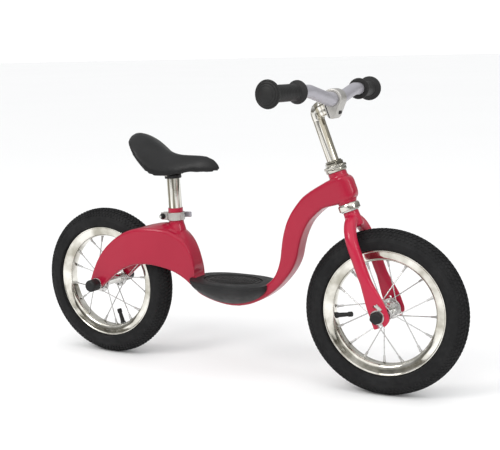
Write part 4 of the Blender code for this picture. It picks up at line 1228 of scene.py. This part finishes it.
@dataclass
class Handlebar:
    """The low-rise bar and its two grips."""

    bar_r: float = 0.0111
    clamp: Point = (0.0405, 0.0, 0.3775)
    grip_inner: Point = (0.0380, 0.1384, 0.3941)
    grip_outer: Point = (0.0270, 0.2273, 0.3969)

    def build(self) -> None:
        """Build the bar with its two holes, and the grips."""
        inner, outer = Vector(self.grip_inner), Vector(self.grip_outer)
        along = (outer - inner).normalized()
        middle = Vector(self.clamp)
        half = [middle, middle + Vector((0, 0.0260, 0)), inner - along * 0.0360, inner + along * 0.0900]
        other = [Vector((p.x, -p.y, p.z)) for p in half[:0:-1]]
        path = bent(other + half[1:], 0.0260, 16)
        path = [first.lerp(last, quarter / 4) for first, last in zip(path, path[1:])
                for quarter in range(4)] + path[-1:]
        bulge = [min(max((0.0360 - abs(spot.y)) / 0.0140, 0.0), 1.0) for spot in path]
        radii = [self.bar_r + 0.0014 * share * share * (3 - 2 * share) for share in bulge]
        bar = pipe(path, radii, 48)
        holes = []
        for side in (-1, 1):
            start = inner - along * 0.0160
            spot = Matrix.Translation((start.x, side * start.y, start.z))
            turn = Matrix.Rotation(math.radians(62), 4, "Y")
            holes.append(moved(rod(0.0017, -0.03, 0.03, 24), spot @ turn))
        fit("bent_bar", worked(bar, holes), BAR_SILVER,
            Fitting(AXES.bars, Body.BARS, "satin_alloy", ("handlebar",)))
        for side, name in ((1, "left"), (-1, "right")):
            way = Vector((along.x, side * along.y, along.z))
            spot = Matrix.Translation((inner.x, side * inner.y, inner.z))
            axes = AXES.bars @ spot @ aimed(way)
            fit("rubber_grip_" + name, self.grip(), GRIP_RUBBER,
                Fitting(axes, Body.BARS, "black_rubber", ("grip_" + name,)))

    def grip(self) -> Shape:
        """Make a grip: flanged at its inner end, ringed along its length, with a domed safety end."""
        bore = self.bar_r + 0.0001
        profile: list[Point] = [(bore, -0.0015), (0.0184, -0.0015, 0.0010), (0.0195, 0.0, 0.0012),
                                (0.0195, 0.0024, 0.0012), (0.0172, 0.0046, 0.0010), (0.0168, 0.0066, 0.0008),
                                (0.0150, 0.0078, 0.0010), (0.0139, 0.0100, 0.0010)]
        for ring in range(14):
            low = 0.0118 + 0.0046 * ring
            profile += [(0.0139, low, 0.0003), (0.0137, low + 0.0005, 0.0003), (0.0137, low + 0.0011, 0.0003),
                        (0.0139, low + 0.0016, 0.0003)]
        profile += [(0.0139, 0.0786, 0.0010), (0.0160, 0.0800, 0.0010), (0.0170, 0.0818, 0.0010),
                    (0.0192, 0.0838, 0.0012), (0.0224, 0.0866, 0.0012), (0.0230, 0.0884, 0.0010),
                    (0.0230, 0.0902, 0.0010), (0.0208, 0.0908, 0.0004), (0.0204, 0.0902, 0.0003),
                    (0.0198, 0.0918, 0.0006), (0.0172, 0.0926, 0.0005), (0.0168, 0.0920, 0.0003),
                    (0.0161, 0.0934, 0.0006), (0.0134, 0.0942, 0.0005), (0.0130, 0.0937, 0.0003),
                    (0.0122, 0.0948, 0.0010), (0.0050, 0.0962, 0.0030), (0.0, 0.0964)]
        return lathe(eased(profile, 0.0008, 3), 72)


# ---------------------------------------------------------------------------------------------
# Wheels
# ---------------------------------------------------------------------------------------------


@dataclass(frozen=True)
class TreadRow:
    """One ring of tread blocks: angles in degrees about the casing's own round section."""

    lean: float
    half_wide: float
    phase: float
    skew: float
    share: float


@dataclass
class Tyre:
    """A round tyre with small tread blocks and ridged side walls."""

    outer_r: float = 0.147
    centre_r: float = 0.1205
    half_width: float = 0.0223
    block: float = 0.0019
    blocks_round: int = 118

    @property
    def reach(self) -> float:
        """Height of the casing above the middle of its section."""
        return self.outer_r - self.block - self.centre_r

    def spot(self, turn: float, lean: float, lift: float) -> Vector:
        """Give a point on the tyre.

        Args:
            turn: Angle round the wheel.
            lean: Angle round the casing's section, 90 degrees at the crown.
            lift: Height above the casing.

        Returns:
            The point, with Z along the axle.
        """
        radius = self.centre_r + (self.reach + lift) * math.sin(lean)
        out = (self.half_width + lift * 0.6) * math.cos(lean)
        return Vector((radius * math.cos(turn), radius * math.sin(turn), out))

    def build(self, prefix: str, axes: Matrix, body: Body) -> None:
        """Build the tyre of one wheel.

        Args:
            prefix: Which wheel it is.
            axes: The wheel's axle axes.
            body: The wheel's body.
        """
        leans = [math.radians(-21 + 222 * step / 74) for step in range(75)]
        ridges = [(4.0, 0.00035), (12.0, 0.00035), (40.0, 0.0005)]
        side = []
        for lean in leans:
            from_crown = abs(math.degrees(lean) - 90)
            lift = sum(tall * math.exp(-(((90 - from_crown) - at) / 1.4) ** 2) for at, tall in ridges)
            radius = self.centre_r + (self.reach + lift) * math.sin(lean)
            side.append((radius, (self.half_width + lift) * math.cos(lean)))
        bead = [(0.1125, 0.0190), (0.1108, 0.0140), (0.1040, 0.0118), (0.0985, 0.0102)]
        profile = bead[::-1] + side[1:-1] + [(radius, -out) for radius, out in bead]
        casing = lathe(profile, 168, closed=True)
        fit(prefix + "_tyre_casing", gathered(casing, self.tread()), TYRE,
            Fitting(axes, body, "tyre_rubber", (prefix + "_tyre",)), crease=30)

    def tread(self) -> Shape:
        """Make the tread blocks."""
        rows = [TreadRow(8.5, 6.4, 0.0, 0.30, 0.58), TreadRow(26.0, 6.4, 0.5, -0.25, 0.56),
                TreadRow(43.0, 6.0, 0.0, 0.20, 0.54), TreadRow(57.0, 4.2, 0.5, 0.0, 0.48)]
        shape = bmesh.new()
        pitch = 2 * math.pi / self.blocks_round
        for row in rows:
            for side in (-1, 1):
                for block in range(self.blocks_round):
                    start = (block + row.phase + (0.5 if side < 0 else 0.0)) * pitch
                    self.add_block(shape, row, side, start, pitch)
        bmesh.ops.recalc_face_normals(shape, faces=shape.faces)
        return shape

    def add_block(self, shape: Shape, row: TreadRow, side: int, start: float, pitch: float) -> None:
        """Add one block to the tread.

        Args:
            shape: The tread so far.
            row: The ring of blocks it is in.
            side: Which side of the crown it is on.
            start: Angle of its middle round the wheel.
            pitch: Angle from one block to the next.
        """
        layers = []
        for lift, inset in ((-0.0004, 1.0), (self.block * 0.75, 0.94), (self.block, 0.80)):
            ring = []
            for along, over in ((-1, -1), (1, -1), (1, 1), (-1, 1)):
                lean = math.radians(90 + side * (row.lean + row.half_wide * over * inset))
                turn = start + pitch * (row.share / 2 * along * inset + row.skew * over / 2)
                ring.append(shape.verts.new(self.spot(turn, lean, lift)))
            layers.append(ring)
        for low, high in zip(layers, layers[1:]):
            for at in range(4):
                on = (at + 1) % 4
                shape.faces.new((low[at], low[on], high[on], high[at]))
        shape.faces.new(layers[-1])
        shape.faces.new(layers[0][::-1])


@dataclass
class Lacing:
    """Hub flanges, spokes and nipples."""

    flange_r: float = 0.0185
    flange_out: float = 0.029
    hole_r: float = 0.0155
    spoke_r: float = 0.00100
    bed_r: float = 0.0915
    nipple_long: float = 0.0120
    lean: float = 0.0012

    def build(self, prefix: str, axes: Matrix, body: Body, start: float) -> None:
        """Build both sides of one wheel's lacing.

        Args:
            prefix: Which wheel it is.
            axes: The wheel's axle axes.
            body: The wheel's body.
            start: Angle in degrees of the right side's first spoke at the rim.
        """
        for side, name, first in ((-1, "right", start), (1, "left", start + 22.5)):
            spokes = [self.flange(side)]
            nipples = []
            for pair in range(4):
                for own, other in ((0, 1), (1, 0)):
                    rim_turn = math.radians(first + 90 * pair + 45 * own)
                    hub_turn = math.radians(first + 90 * pair + 45 * other)
                    spoke, nipple = self.spoke(side, rim_turn, hub_turn, 1 if own else -1)
                    spokes.append(spoke)
                    nipples.append(nipple)
            fit(f"{prefix}_spokes_and_flange_{name}", gathered(*spokes), SPOKE_WIRE,
                Fitting(axes, body, "chrome", (f"{prefix}_spokes_{name}",)))
            fit(f"{prefix}_nipples_{name}", gathered(*nipples), NIPPLE, Fitting(axes, body, "chrome"))

    def flange(self, side: int) -> Shape:
        """Make one pressed flange, stepped like a cup."""
        out = self.flange_out
        profile = eased([(0.0100, out - 0.0034), (0.0128, out - 0.0034), (0.0138, out - 0.0014),
                         (self.flange_r - 0.0008, out - 0.0014), (self.flange_r, out - 0.0006),
                         (self.flange_r, out + 0.0008), (self.flange_r - 0.0008, out + 0.0014),
                         (0.0132, out + 0.0014), (0.0120, out + 0.0030), (0.0100, out + 0.0030)], 0.0005,
                        closed=True)
        return lathe([(radius, side * height) for radius, height in profile], 72, closed=True)

    def spoke(self, side: int, rim_turn: float, hub_turn: float, lift: int) -> tuple[Shape, Shape]:
        """Make one spoke with its head and elbow, and its nipple.

        Args:
            side: 1 for the left flange and -1 for the right.
            rim_turn: Angle of the rim end.
            hub_turn: Angle of the flange hole.
            lift: Which face of the flange it leaves.

        Returns:
            The spoke and the nipple.
        """
        out = side * self.flange_out
        hole = Vector((self.hole_r * math.cos(hub_turn), self.hole_r * math.sin(hub_turn), 0))
        rim = Vector((math.cos(rim_turn), math.sin(rim_turn), 0))
        leave = out + lift * self.lean * 1.9
        head = hole + Vector((0, 0, out - lift * self.lean * 2.0))
        elbow = hole + Vector((0, 0, leave))
        tip = rim * (self.bed_r - 0.0010) + Vector((0, 0, side * 0.0035 + lift * self.lean))
        path = bent([head, elbow, tip], 0.0016, 5)
        spoke = pipe(path, [self.spoke_r], 10)
        cap = lathe(eased([(0, 0.0), (0.0019, 0.0), (0.0019, 0.0008), (0, 0.0012)], 0.0004), 16)
        flip = Matrix.Rotation(math.radians(180 if lift > 0 else 0), 4, "X")
        spoke = gathered(spoke, moved(cap, Matrix.Translation(head) @ flip))
        way = (tip - elbow).normalized()
        half = self.nipple_long
        profile = eased([(0, -half), (0.00165, -half), (0.0019, -half + 0.0010), (0.0019, -0.0032),
                         (0.0026, -0.0026), (0.0028, 0.0), (0, 0.0)], 0.0004)
        nipple = moved(lathe(profile, 18), Matrix.Translation(tip) @ aimed(way))
        return spoke, nipple


@dataclass
class Wheel:
    """One wheel: rim, tyre, lacing, hub and valve."""

    prefix: str
    body: Body
    axes: Matrix
    hub_half: float
    first_spoke: float
    valve_turn: float
    bed_r: float = 0.0915
    flange_r: float = 0.110
    half_width: float = 0.0157

    def build(self) -> None:
        """Build the wheel."""
        Tyre().build(self.prefix, self.axes, self.body)
        self.build_rim()
        Lacing().build(self.prefix, self.axes, self.body, self.first_spoke)
        self.build_hub()
        self.build_valve()

    def build_rim(self) -> None:
        """Build the rolled rim: a beaded lip, a tall leaning wall and a dished bed."""
        half, lip, bed = self.half_width, self.flange_r, self.bed_r
        outside: list[Point] = [(lip + 0.0004, half - 0.0014, 0.0006), (lip + 0.0004, half - 0.0001, 0.0009),
                                (lip - 0.0016, half, 0.0009), (lip - 0.0024, half - 0.0012, 0.0006),
                                (bed + 0.0075, 0.0130, 0.0030), (bed + 0.0030, 0.0116, 0.0020),
                                (bed + 0.0006, 0.0088, 0.0020), (bed, 0.0050, 0.0020),
                                (bed - 0.0002, 0.0, 0.0)]
        inside: list[Point] = [(bed + 0.0014, 0.0076, 0.0010), (bed + 0.0046, 0.0104, 0.0020),
                               (lip - 0.0050, half - 0.0026, 0.0020)]
        loop = outside + [(point[0], -point[1], point[2]) for point in outside[-2::-1]]
        loop += [(point[0], -point[1], point[2]) for point in inside[::-1]] + inside
        rim = lathe(eased(loop, 0.001, 5, closed=True), 180, closed=True)
        fit(self.prefix + "_rolled_rim", rim, RIM_CHROME,
            Fitting(self.axes, self.body, "chrome", (self.prefix + "_rim",)))

    def build_hub(self) -> None:
        """Build the hub barrel and the black seals outside its flanges."""
        barrel = [(0.0052, 0.0310), (0.0098, 0.0310), (0.0106, 0.0296), (0.0118, 0.0270), (0.0118, 0.0200),
                  (0.0104, 0.0170), (0.0098, 0.0140), (0.0096, 0.0)]
        barrel += [(radius, -height) for radius, height in barrel[-2::-1]]
        fit(self.prefix + "_hub_barrel", lathe(eased(barrel, 0.0010, closed=True), 72, closed=True), CHROME,
            Fitting(self.axes, self.body, "chrome", (self.prefix + "_hub",)))
        end = self.hub_half
        for side, name in ((-1, "right"), (1, "left")):
            seal = eased([(0.0052, 0.0312), (0.0096, 0.0312), (0.0096, 0.0326), (0.0080, 0.0334),
                          (0.0080, end - 0.0002), (0.0052, end - 0.0002)], 0.0005, closed=True)
            shape = lathe([(radius, side * height) for radius, height in seal], 56, closed=True)
            fit(f"{self.prefix}_hub_seal_{name}", shape, BLACK_PLASTIC,
                Fitting(self.axes, self.body, "black_plastic"))

    def build_valve(self) -> None:
        """Build the rubber valve with its ribbed cap, pointing at the hub."""
        stem = eased([(0, 0), (0.0054, 0), (0.0054, 0.0014), (0.0042, 0.0040), (0.0038, 0.0150),
                      (0.0036, 0.0200), (0.0036, 0.0216), (0.0046, 0.0218), (0.0046, 0.0285),
                      (0.0036, 0.0300), (0, 0.0300)], 0.0006)
        valve = lathe(stem, 72, rule=lambda turn, radius, height: radius - (
            0.00025 if radius > 0.004 and 0.0222 < height < 0.0284 and math.sin(18 * turn) > 0 else 0.0))
        turn = math.radians(self.valve_turn)
        base = self.bed_r - 0.0006
        spot = Matrix.Translation((base * math.cos(turn), base * math.sin(turn), 0))
        aim = aimed(Vector((-math.cos(turn), -math.sin(turn), 0)))
        fit(self.prefix + "_rubber_valve", moved(valve, spot @ aim), GRIP_RUBBER,
            Fitting(self.axes, self.body, "black_rubber", (self.prefix + "_valve",)))


@dataclass
class AxleEnds:
    """Washers and black caps on the ends of one axle."""

    prefix: str
    body: Body
    axes: Matrix
    face: float
    cap_end: float
    cap_r: float
    six_sided: bool

    def build(self) -> None:
        """Build both ends."""
        for side, name in ((-1, "right"), (1, "left")):
            flip = Matrix.Rotation(math.radians(180), 4, "X") if side < 0 else Matrix.Identity(4)
            axes = self.axes @ flip
            fit(f"{self.prefix}_flat_washer_{name}", self.washer(side), ZINC,
                Fitting(axes, self.body, "zinc_steel", (f"{self.prefix}_washer_{name}",)))
            fit(f"{self.prefix}_axle_cap_{name}", self.cap(), BLACK_PLASTIC,
                Fitting(axes, self.body, "black_plastic", (f"{self.prefix}_cap_{name}",)))

    def washer(self, side: int) -> Shape:
        """Make the washer; the front ones have a safety tab that reaches up the paddle.

        Args:
            side: 1 for the left end and -1 for the right.

        Returns:
            The washer.
        """
        plate = slab(circle(0.0125, 64), self.face + 0.0001, self.face + 0.0017, 0.0003)
        if self.six_sided:
            tab = Matrix.Translation((0.0078, -side * 0.0150, self.face + 0.0009))
            way = Matrix.Rotation(math.radians(-side * 26), 4, "Z")
            plate = worked(plate, [box((0.0060, 0.0130, 0.0016), tab @ way, 0.0003)], "UNION")
        return worked(plate, [rod(0.0051, 0, 0.1, 40)])

    def cap(self) -> Shape:
        """Make the cap: round, or six-sided with soft corners."""
        low, high, radius = self.face + 0.0019, self.cap_end, self.cap_r
        profile = eased([(0.0, high), (radius - 0.0028, high - 0.0002, 0.0016),
                         (radius, high - 0.0034, 0.0022),
                         (radius, low + 0.0008, 0.0006), (radius - 0.0004, low, 0.0004),
                         (radius - 0.0022, low, 0.0003), (radius - 0.0022, low + 0.003), (0.0, low + 0.003)],
                        0.0010, 5)
        return lathe(profile, 96, rule=self.flats if self.six_sided else None)

    @staticmethod
    def flats(turn: float, reach: float, height: float) -> float:
        """Draw a radius in to six flats, whatever the height."""
        across_flats = 0.925
        return reach * min(1.0, across_flats / math.cos(turn % (math.pi / 3) - math.pi / 6))


# ---------------------------------------------------------------------------------------------
# Saddle
# ---------------------------------------------------------------------------------------------


@dataclass
class Saddle:
    """The padded saddle, its moulded base, rails, clamp and post."""

    post_r: float = 0.0127
    tilt_up: float = 0.1031
    rail_r: float = 0.0025
    swell: float = 0.0016
    voxel: float = 0.0045
    firmness: float = 3.5
    swell_limit: float = 0.0026
    widest_at: float = 0.25
    cloth_frames: int = 20

    def stations(self) -> list[Point]:
        """Give the saddle's rows: ahead, top, bottom and half-width."""
        return [(0.0690, 0.4401, 0.4324, 0.0090), (0.0740, 0.4457, 0.4276, 0.0231),
                (0.0826, 0.4480, 0.4244, 0.0369), (0.0928, 0.4466, 0.4155, 0.0479),
                (0.1086, 0.4401, 0.3990, 0.0558), (0.1278, 0.4282, 0.3798, 0.0563),
                (0.1430, 0.4185, 0.3688, 0.0535), (0.1630, 0.4111, 0.3666, 0.0437),
                (0.1830, 0.4079, 0.3696, 0.0333), (0.2050, 0.4082, 0.3740, 0.0256),
                (0.2300, 0.4087, 0.3754, 0.0207), (0.2480, 0.4045, 0.3752, 0.0166),
                (0.2600, 0.3964, 0.3746, 0.0112), (0.2670, 0.3863, 0.3751, 0.0040)]

    @staticmethod
    def hollow(top: float, bottom: float) -> float:
        """Say how far the underside is hollowed above its lower edge."""
        return min(0.48 * (top - bottom), 0.0208)

    def cover_shape(self, inset: float) -> Shape:
        """Make the cover's outside, drawn in by an inset.

        Args:
            inset: How far it is drawn in.

        Returns:
            The closed shape.
        """
        rings = []
        for ahead, top, bottom, half in smoothed(self.stations(), 4):
            half, top = max(half - inset, 0.003), top - inset
            low = bottom + inset * 0.3
            hollow = self.hollow(top, bottom)
            lip = min(0.0080, half * 0.45)
            ring = []
            for step in range(33):
                turn = math.pi * step / 32
                across = math.copysign(abs(math.cos(turn)) ** 0.75, math.cos(turn))
                dome = max(1 - abs(across) ** 1.675, 0.0) ** 0.8
                height = low + (top - low) * (self.widest_at + (1 - self.widest_at) * dome)
                ring.append(Vector((ahead, half * across, height)))
            under = [(-half * 0.985, low + 0.13 * (top - low)), (-half * 0.965, low + 0.04 * (top - low)),
                     (-half + 0.0020, low), (-half + lip, low), (-half + lip + 0.0004, low + hollow)]
            ring += [Vector((ahead, across, height)) for across, height in under]
            ring += [Vector((ahead, -across, height)) for across, height in under[::-1]]
            rings.append(ring)
        return skin(rings)

    def build(self) -> None:
        """Build the cover, the base, the rails, the clamp and the post."""
        fitting = Fitting(AXES.bike, Body.SADDLE, "saddle_vinyl", ("saddle_cover",))
        shape = self.padded_cover()
        cover = fit("saddle_pad", shape, VINYL, fitting, crease=70)
        self.build_base()
        self.build_hardware()

    def padded_cover(self) -> Shape:
        """Blow the cover up from inside against its own cloth, and keep it near its moulded shape."""
        item = bench_object(melted(self.cover_shape(self.swell), self.voxel, 0), "saddle_blank")
        start = [vert.co.copy() for vert in item.data.vertices]
        cloth = item.modifiers.new("cloth", "CLOTH")
        cloth.settings.use_pressure = True
        cloth.settings.uniform_pressure_force = self.firmness
        cloth.settings.tension_stiffness = 25
        cloth.settings.bending_stiffness = 2.0
        cloth.settings.effector_weights.gravity = 0
        scene = bpy.context.scene
        for step in range(1, self.cloth_frames + 1):
            scene.frame_set(step)
        graph = bpy.context.evaluated_depsgraph_get()
        settled = [vert.co.copy() for vert in item.evaluated_get(graph).data.vertices]
        scene.frame_set(1)
        item.modifiers.clear()
        for vert, first, last in zip(item.data.vertices, start, settled):
            step = last - first
            vert.co = first + step * min(1.0, self.swell_limit / max(step.length, 1e-9))
        ease = item.modifiers.new("ease", "SMOOTH")
        ease.factor, ease.iterations = 0.5, 6
        finer = item.modifiers.new("finer", "SUBSURF")
        finer.levels = finer.render_levels = 1
        bpy.context.view_layer.update()
        return evaluated(item)

    def build_base(self) -> None:
        """Build the moulded tray inside the cover's underside, with ribs along it."""
        rings = []
        for ahead, top, bottom, half in smoothed(self.stations()[3:12], 4):
            ceiling = bottom + self.hollow(top, bottom) - 0.0003
            side = half - min(0.0080, half * 0.45) - 0.0010
            section = [(side, ceiling), (-side, ceiling), (-side, ceiling - 0.0030)]
            for rib in range(-3, 4):
                middle = side * 0.25 * rib
                section += [(middle + side * out, ceiling - depth) for out, depth in (
                    (-0.06, 0.0030), (-0.05, 0.0048), (0.05, 0.0048), (0.06, 0.0030))]
            section.append((side, ceiling - 0.0030))
            rings.append([Vector((ahead, across, height)) for across, height in section])
        fit("saddle_tray", skin(rings), BLACK_PLASTIC,
            Fitting(AXES.bike, Body.SADDLE, "black_plastic", ("saddle_base",)))

    def build_hardware(self) -> None:
        """Build the post, the clamp on its head, the cross bolt and the rails."""
        up, radius = self.tilt_up, self.post_r
        post = eased([(0, up - 0.0075), (radius, up - 0.0075), (radius, -0.0340), (0, -0.0340)], 0.0008)
        fit("chrome_post", lathe(post, 72), POST_CHROME,
            Fitting(AXES.seat, Body.SEATPOST, "chrome", ("seatpost",)))
        across = Matrix.Translation((0, 0, up)) @ ACROSS
        half, round_r = 0.0115, 0.0072
        barrel = lathe(eased([(0, -half), (round_r, -half), (round_r, half), (0, half)], 0.001), 48)
        barrel = moved(barrel, across)
        socket = lathe(eased([(0, up - 0.0122), (0.0160, up - 0.0122), (0.0160, up - 0.0060),
                              (0.0120, up - 0.0030), (0, up - 0.0030)], 0.0010), 64)
        bore = rod(radius + 0.0002, up - 0.03, up - 0.0073, 64)
        fit("post_clamp", worked(worked(barrel, [socket], "UNION"), [bore]), BLACK_PLASTIC,
            Fitting(AXES.seat, Body.SEATPOST, "black_plastic", ("saddle_clamp",)))
        end = [(0, 0.0245), (0.0060, 0.0245), (0.0066, 0.0236), (0.0066, 0.0200), (0.0030, 0.0200)]
        bolt = eased(end + [(reach, -out) for reach, out in end[::-1]], 0.0006)
        fit("cross_bolt", moved(lathe(bolt, 36), across), ZINC,
            Fitting(AXES.seat, Body.SADDLE, "zinc_steel", ("saddle_bolt",)))
        rail_up = up + 0.0033 + self.rail_r
        half = [(-0.0560, 0.0200, rail_up + 0.0200), (-0.0300, 0.0157, rail_up), (0.0300, 0.0157, rail_up),
                (0.0700, 0.0085, rail_up - 0.0030), (0.0800, 0.0, rail_up - 0.0030)]
        path = [Vector(point) for point in half + [(x, -y, z) for x, y, z in half[-2::-1]]]
        fit("saddle_rail_wire", pipe(bent(path, 0.0120, 8), [self.rail_r], 20), CHROME,
            Fitting(AXES.seat, Body.SADDLE, "chrome", ("saddle_rails",)))


# ---------------------------------------------------------------------------------------------
# Solids kept from the frame, and the studio
# ---------------------------------------------------------------------------------------------


def dress_kept_solids() -> None:
    """Give each solid that is still shown its own finish."""
    by_slot = {"zinc_steel": ZINC, "chrome": CHROME, "black_plastic": BLACK_PLASTIC,
               "black_rubber": GRIP_RUBBER, "red_paint": RED, "satin_alloy": BAR_SILVER,
               "tyre_rubber": TYRE, "saddle_vinyl": VINYL}
    slots = {row["node"]: row["material_slot"] for row in frame["record"]["subparts"]}
    for name, node in frame["nodes"].items():
        if node.hide_render:
            continue
        node.data.materials.clear()
        node.data.materials.append(by_slot[slots[name]].material())
        LOG.info("%s: kept solid in %s", name, slots[name])


@dataclass
class Studio:
    """The pale floor, the soft lights and the camera."""

    camera_spot: Point = (0.9738, -1.6324, 0.6040)
    yaw: float = math.radians(30.064)
    pitch: float = math.radians(9.701)
    roll: float = math.radians(-1.112)
    lens: float = 74.731

    def build(self) -> None:
        """Build the studio."""
        self.place_camera()
        self.lay_floor()
        self.hang_lights()
        self.light_room()

    def place_camera(self) -> None:
        """Place the camera and make it the scene's."""
        ahead = Vector((-math.sin(self.yaw) * math.cos(self.pitch), math.cos(self.yaw) * math.cos(self.pitch),
                        -math.sin(self.pitch)))
        level = Vector((math.cos(self.yaw), math.sin(self.yaw), 0))
        upright = level.cross(ahead)
        right = level * math.cos(self.roll) + upright * math.sin(self.roll)
        up = upright * math.cos(self.roll) - level * math.sin(self.roll)
        lens = bpy.data.cameras.new("studio_camera")
        lens.lens, lens.sensor_width = self.lens, 36.0
        camera = bpy.data.objects.new("studio_camera", lens)
        bpy.context.scene.collection.objects.link(camera)
        turn = Matrix((right, up, -ahead)).transposed().to_4x4()
        camera.matrix_world = Matrix.Translation(self.camera_spot) @ turn
        bpy.context.scene.camera = camera

    @staticmethod
    def lay_floor() -> None:
        """Lay a wide plain pale floor."""
        shape = bmesh.new()
        bmesh.ops.create_circle(shape, cap_ends=True, segments=64, radius=60.0)
        floor = bench_object(shape, "studio_floor")
        bench = Bench("studio_floor_white")
        bench.set(Specular_IOR_Level=0.1, Roughness=0.9)
        bench.tinted(bench.noise(0.4, 2.0), (0.90, 0.90, 0.90), (0.93, 0.93, 0.93))
        floor.data.materials.append(bench.material)

    @staticmethod
    def hang_lights() -> None:
        """Hang a wide diffuser overhead and two soft boxes."""
        sky = bpy.data.lights.new("overhead_diffuser", "SUN")
        sky.energy, sky.angle = 1.7, math.radians(100)
        item = bpy.data.objects.new("overhead_diffuser", sky)
        bpy.context.scene.collection.objects.link(item)
        item.rotation_euler = Vector((0.25, -0.45, 1.0)).to_track_quat("Z", "Y").to_euler()
        for name, spot, size, power, colour in (
                ("key", (-0.9, -2.3, 2.3), 1.3, 34.0, (1.0, 0.99, 0.97)),
                ("fill", (2.6, -0.6, 1.3), 0.8, 9.0, (0.97, 0.98, 1.0))):
            light = bpy.data.lights.new(name, "AREA")
            light.shape, light.size = "DISK", size
            light.energy, light.color = power, colour
            item = bpy.data.objects.new(name + "_soft_box", light)
            bpy.context.scene.collection.objects.link(item)
            item.location = spot
            item.rotation_euler = (Vector(spot) - Vector((0, 0, 0.25))).to_track_quat("Z", "Y").to_euler()

    @staticmethod
    def light_room() -> None:
        """Light the room: pale above, with a dim warm band of furniture and walls at eye level."""
        world = bpy.data.worlds.new("studio_room")
        bpy.context.scene.world = world
        world.use_nodes = True
        nodes, links = world.node_tree.nodes, world.node_tree.links
        nodes.clear()
        where = nodes.new("ShaderNodeTexCoord").outputs["Generated"]
        split = nodes.new("ShaderNodeSeparateXYZ")
        links.new(where, split.inputs["Vector"])
        height = nodes.new("ShaderNodeMapRange")
        height.inputs["From Min"].default_value, height.inputs["From Max"].default_value = 0.02, 0.42
        links.new(split.outputs["Z"], height.inputs["Value"])
        cloud = nodes.new("ShaderNodeTexNoise")
        cloud.inputs["Scale"].default_value, cloud.inputs["Detail"].default_value = 3.2, 3.0
        links.new(where, cloud.inputs["Vector"])
        patches = nodes.new("ShaderNodeValToRGB")
        dark, bright = patches.color_ramp.elements
        dark.position, dark.color = 0.40, (0.06, 0.058, 0.05, 1)
        bright.position, bright.color = 0.62, (0.90, 0.89, 0.85, 1)
        patches.color_ramp.elements.new(0.52).color = (0.30, 0.28, 0.23, 1)
        links.new(cloud.outputs["Fac"], patches.inputs["Fac"])
        room = nodes.new("ShaderNodeMix")
        room.data_type = "RGBA"
        room.inputs["B"].default_value = (0.98, 0.99, 1.0, 1.0)
        links.new(height.outputs["Result"], room.inputs["Factor"])
        links.new(patches.outputs["Color"], room.inputs["A"])
        seen = nodes.new("ShaderNodeLightPath")
        lamp, backdrop = nodes.new("ShaderNodeBackground"), nodes.new("ShaderNodeBackground")
        lamp.inputs["Strength"].default_value = 0.62
        backdrop.inputs["Color"].default_value = (1.0, 1.0, 1.0, 1.0)
        backdrop.inputs["Strength"].default_value = 1.1
        links.new(room.outputs["Result"], lamp.inputs["Color"])
        mix = nodes.new("ShaderNodeMixShader")
        links.new(seen.outputs["Is Camera Ray"], mix.inputs["Fac"])
        links.new(lamp.outputs["Background"], mix.inputs[1])
        links.new(backdrop.outputs["Background"], mix.inputs[2])
        links.new(mix.outputs["Shader"], nodes.new("ShaderNodeOutputWorld").inputs["Surface"])
        bpy.context.scene.view_settings.view_transform = "Standard"


def main() -> None:
    """Build every sub-assembly in order, then the studio."""
    logging.basicConfig(level=logging.INFO, format="%(name)s: %(message)s")
    WeldedFrame().build()
    SeatClamp().build()
    Footrest().build()
    Headset().build()
    Fork().build()
    Stem().build()
    Handlebar().build()
    Wheel("rear", Body.REAR_WHEEL, AXES.rear_axle, 0.0355, 36.5, 72.0).build()
    Wheel("front", Body.FRONT_WHEEL, AXES.front_axle, 0.0410, 68.5, 171.0).build()
    AxleEnds("rear", Body.FRAME, AXES.rear_axle, 0.0450, 0.0690, 0.0118, False).build()
    fork_axle = AXES.fork @ ALONG_AXLE
    AxleEnds("front", Body.FORK, fork_axle, 0.0491, 0.0615, 0.0112, True).build()
    Saddle().build()
    dress_kept_solids()
    Studio().build()


if __name__ == "__main__":
    main()
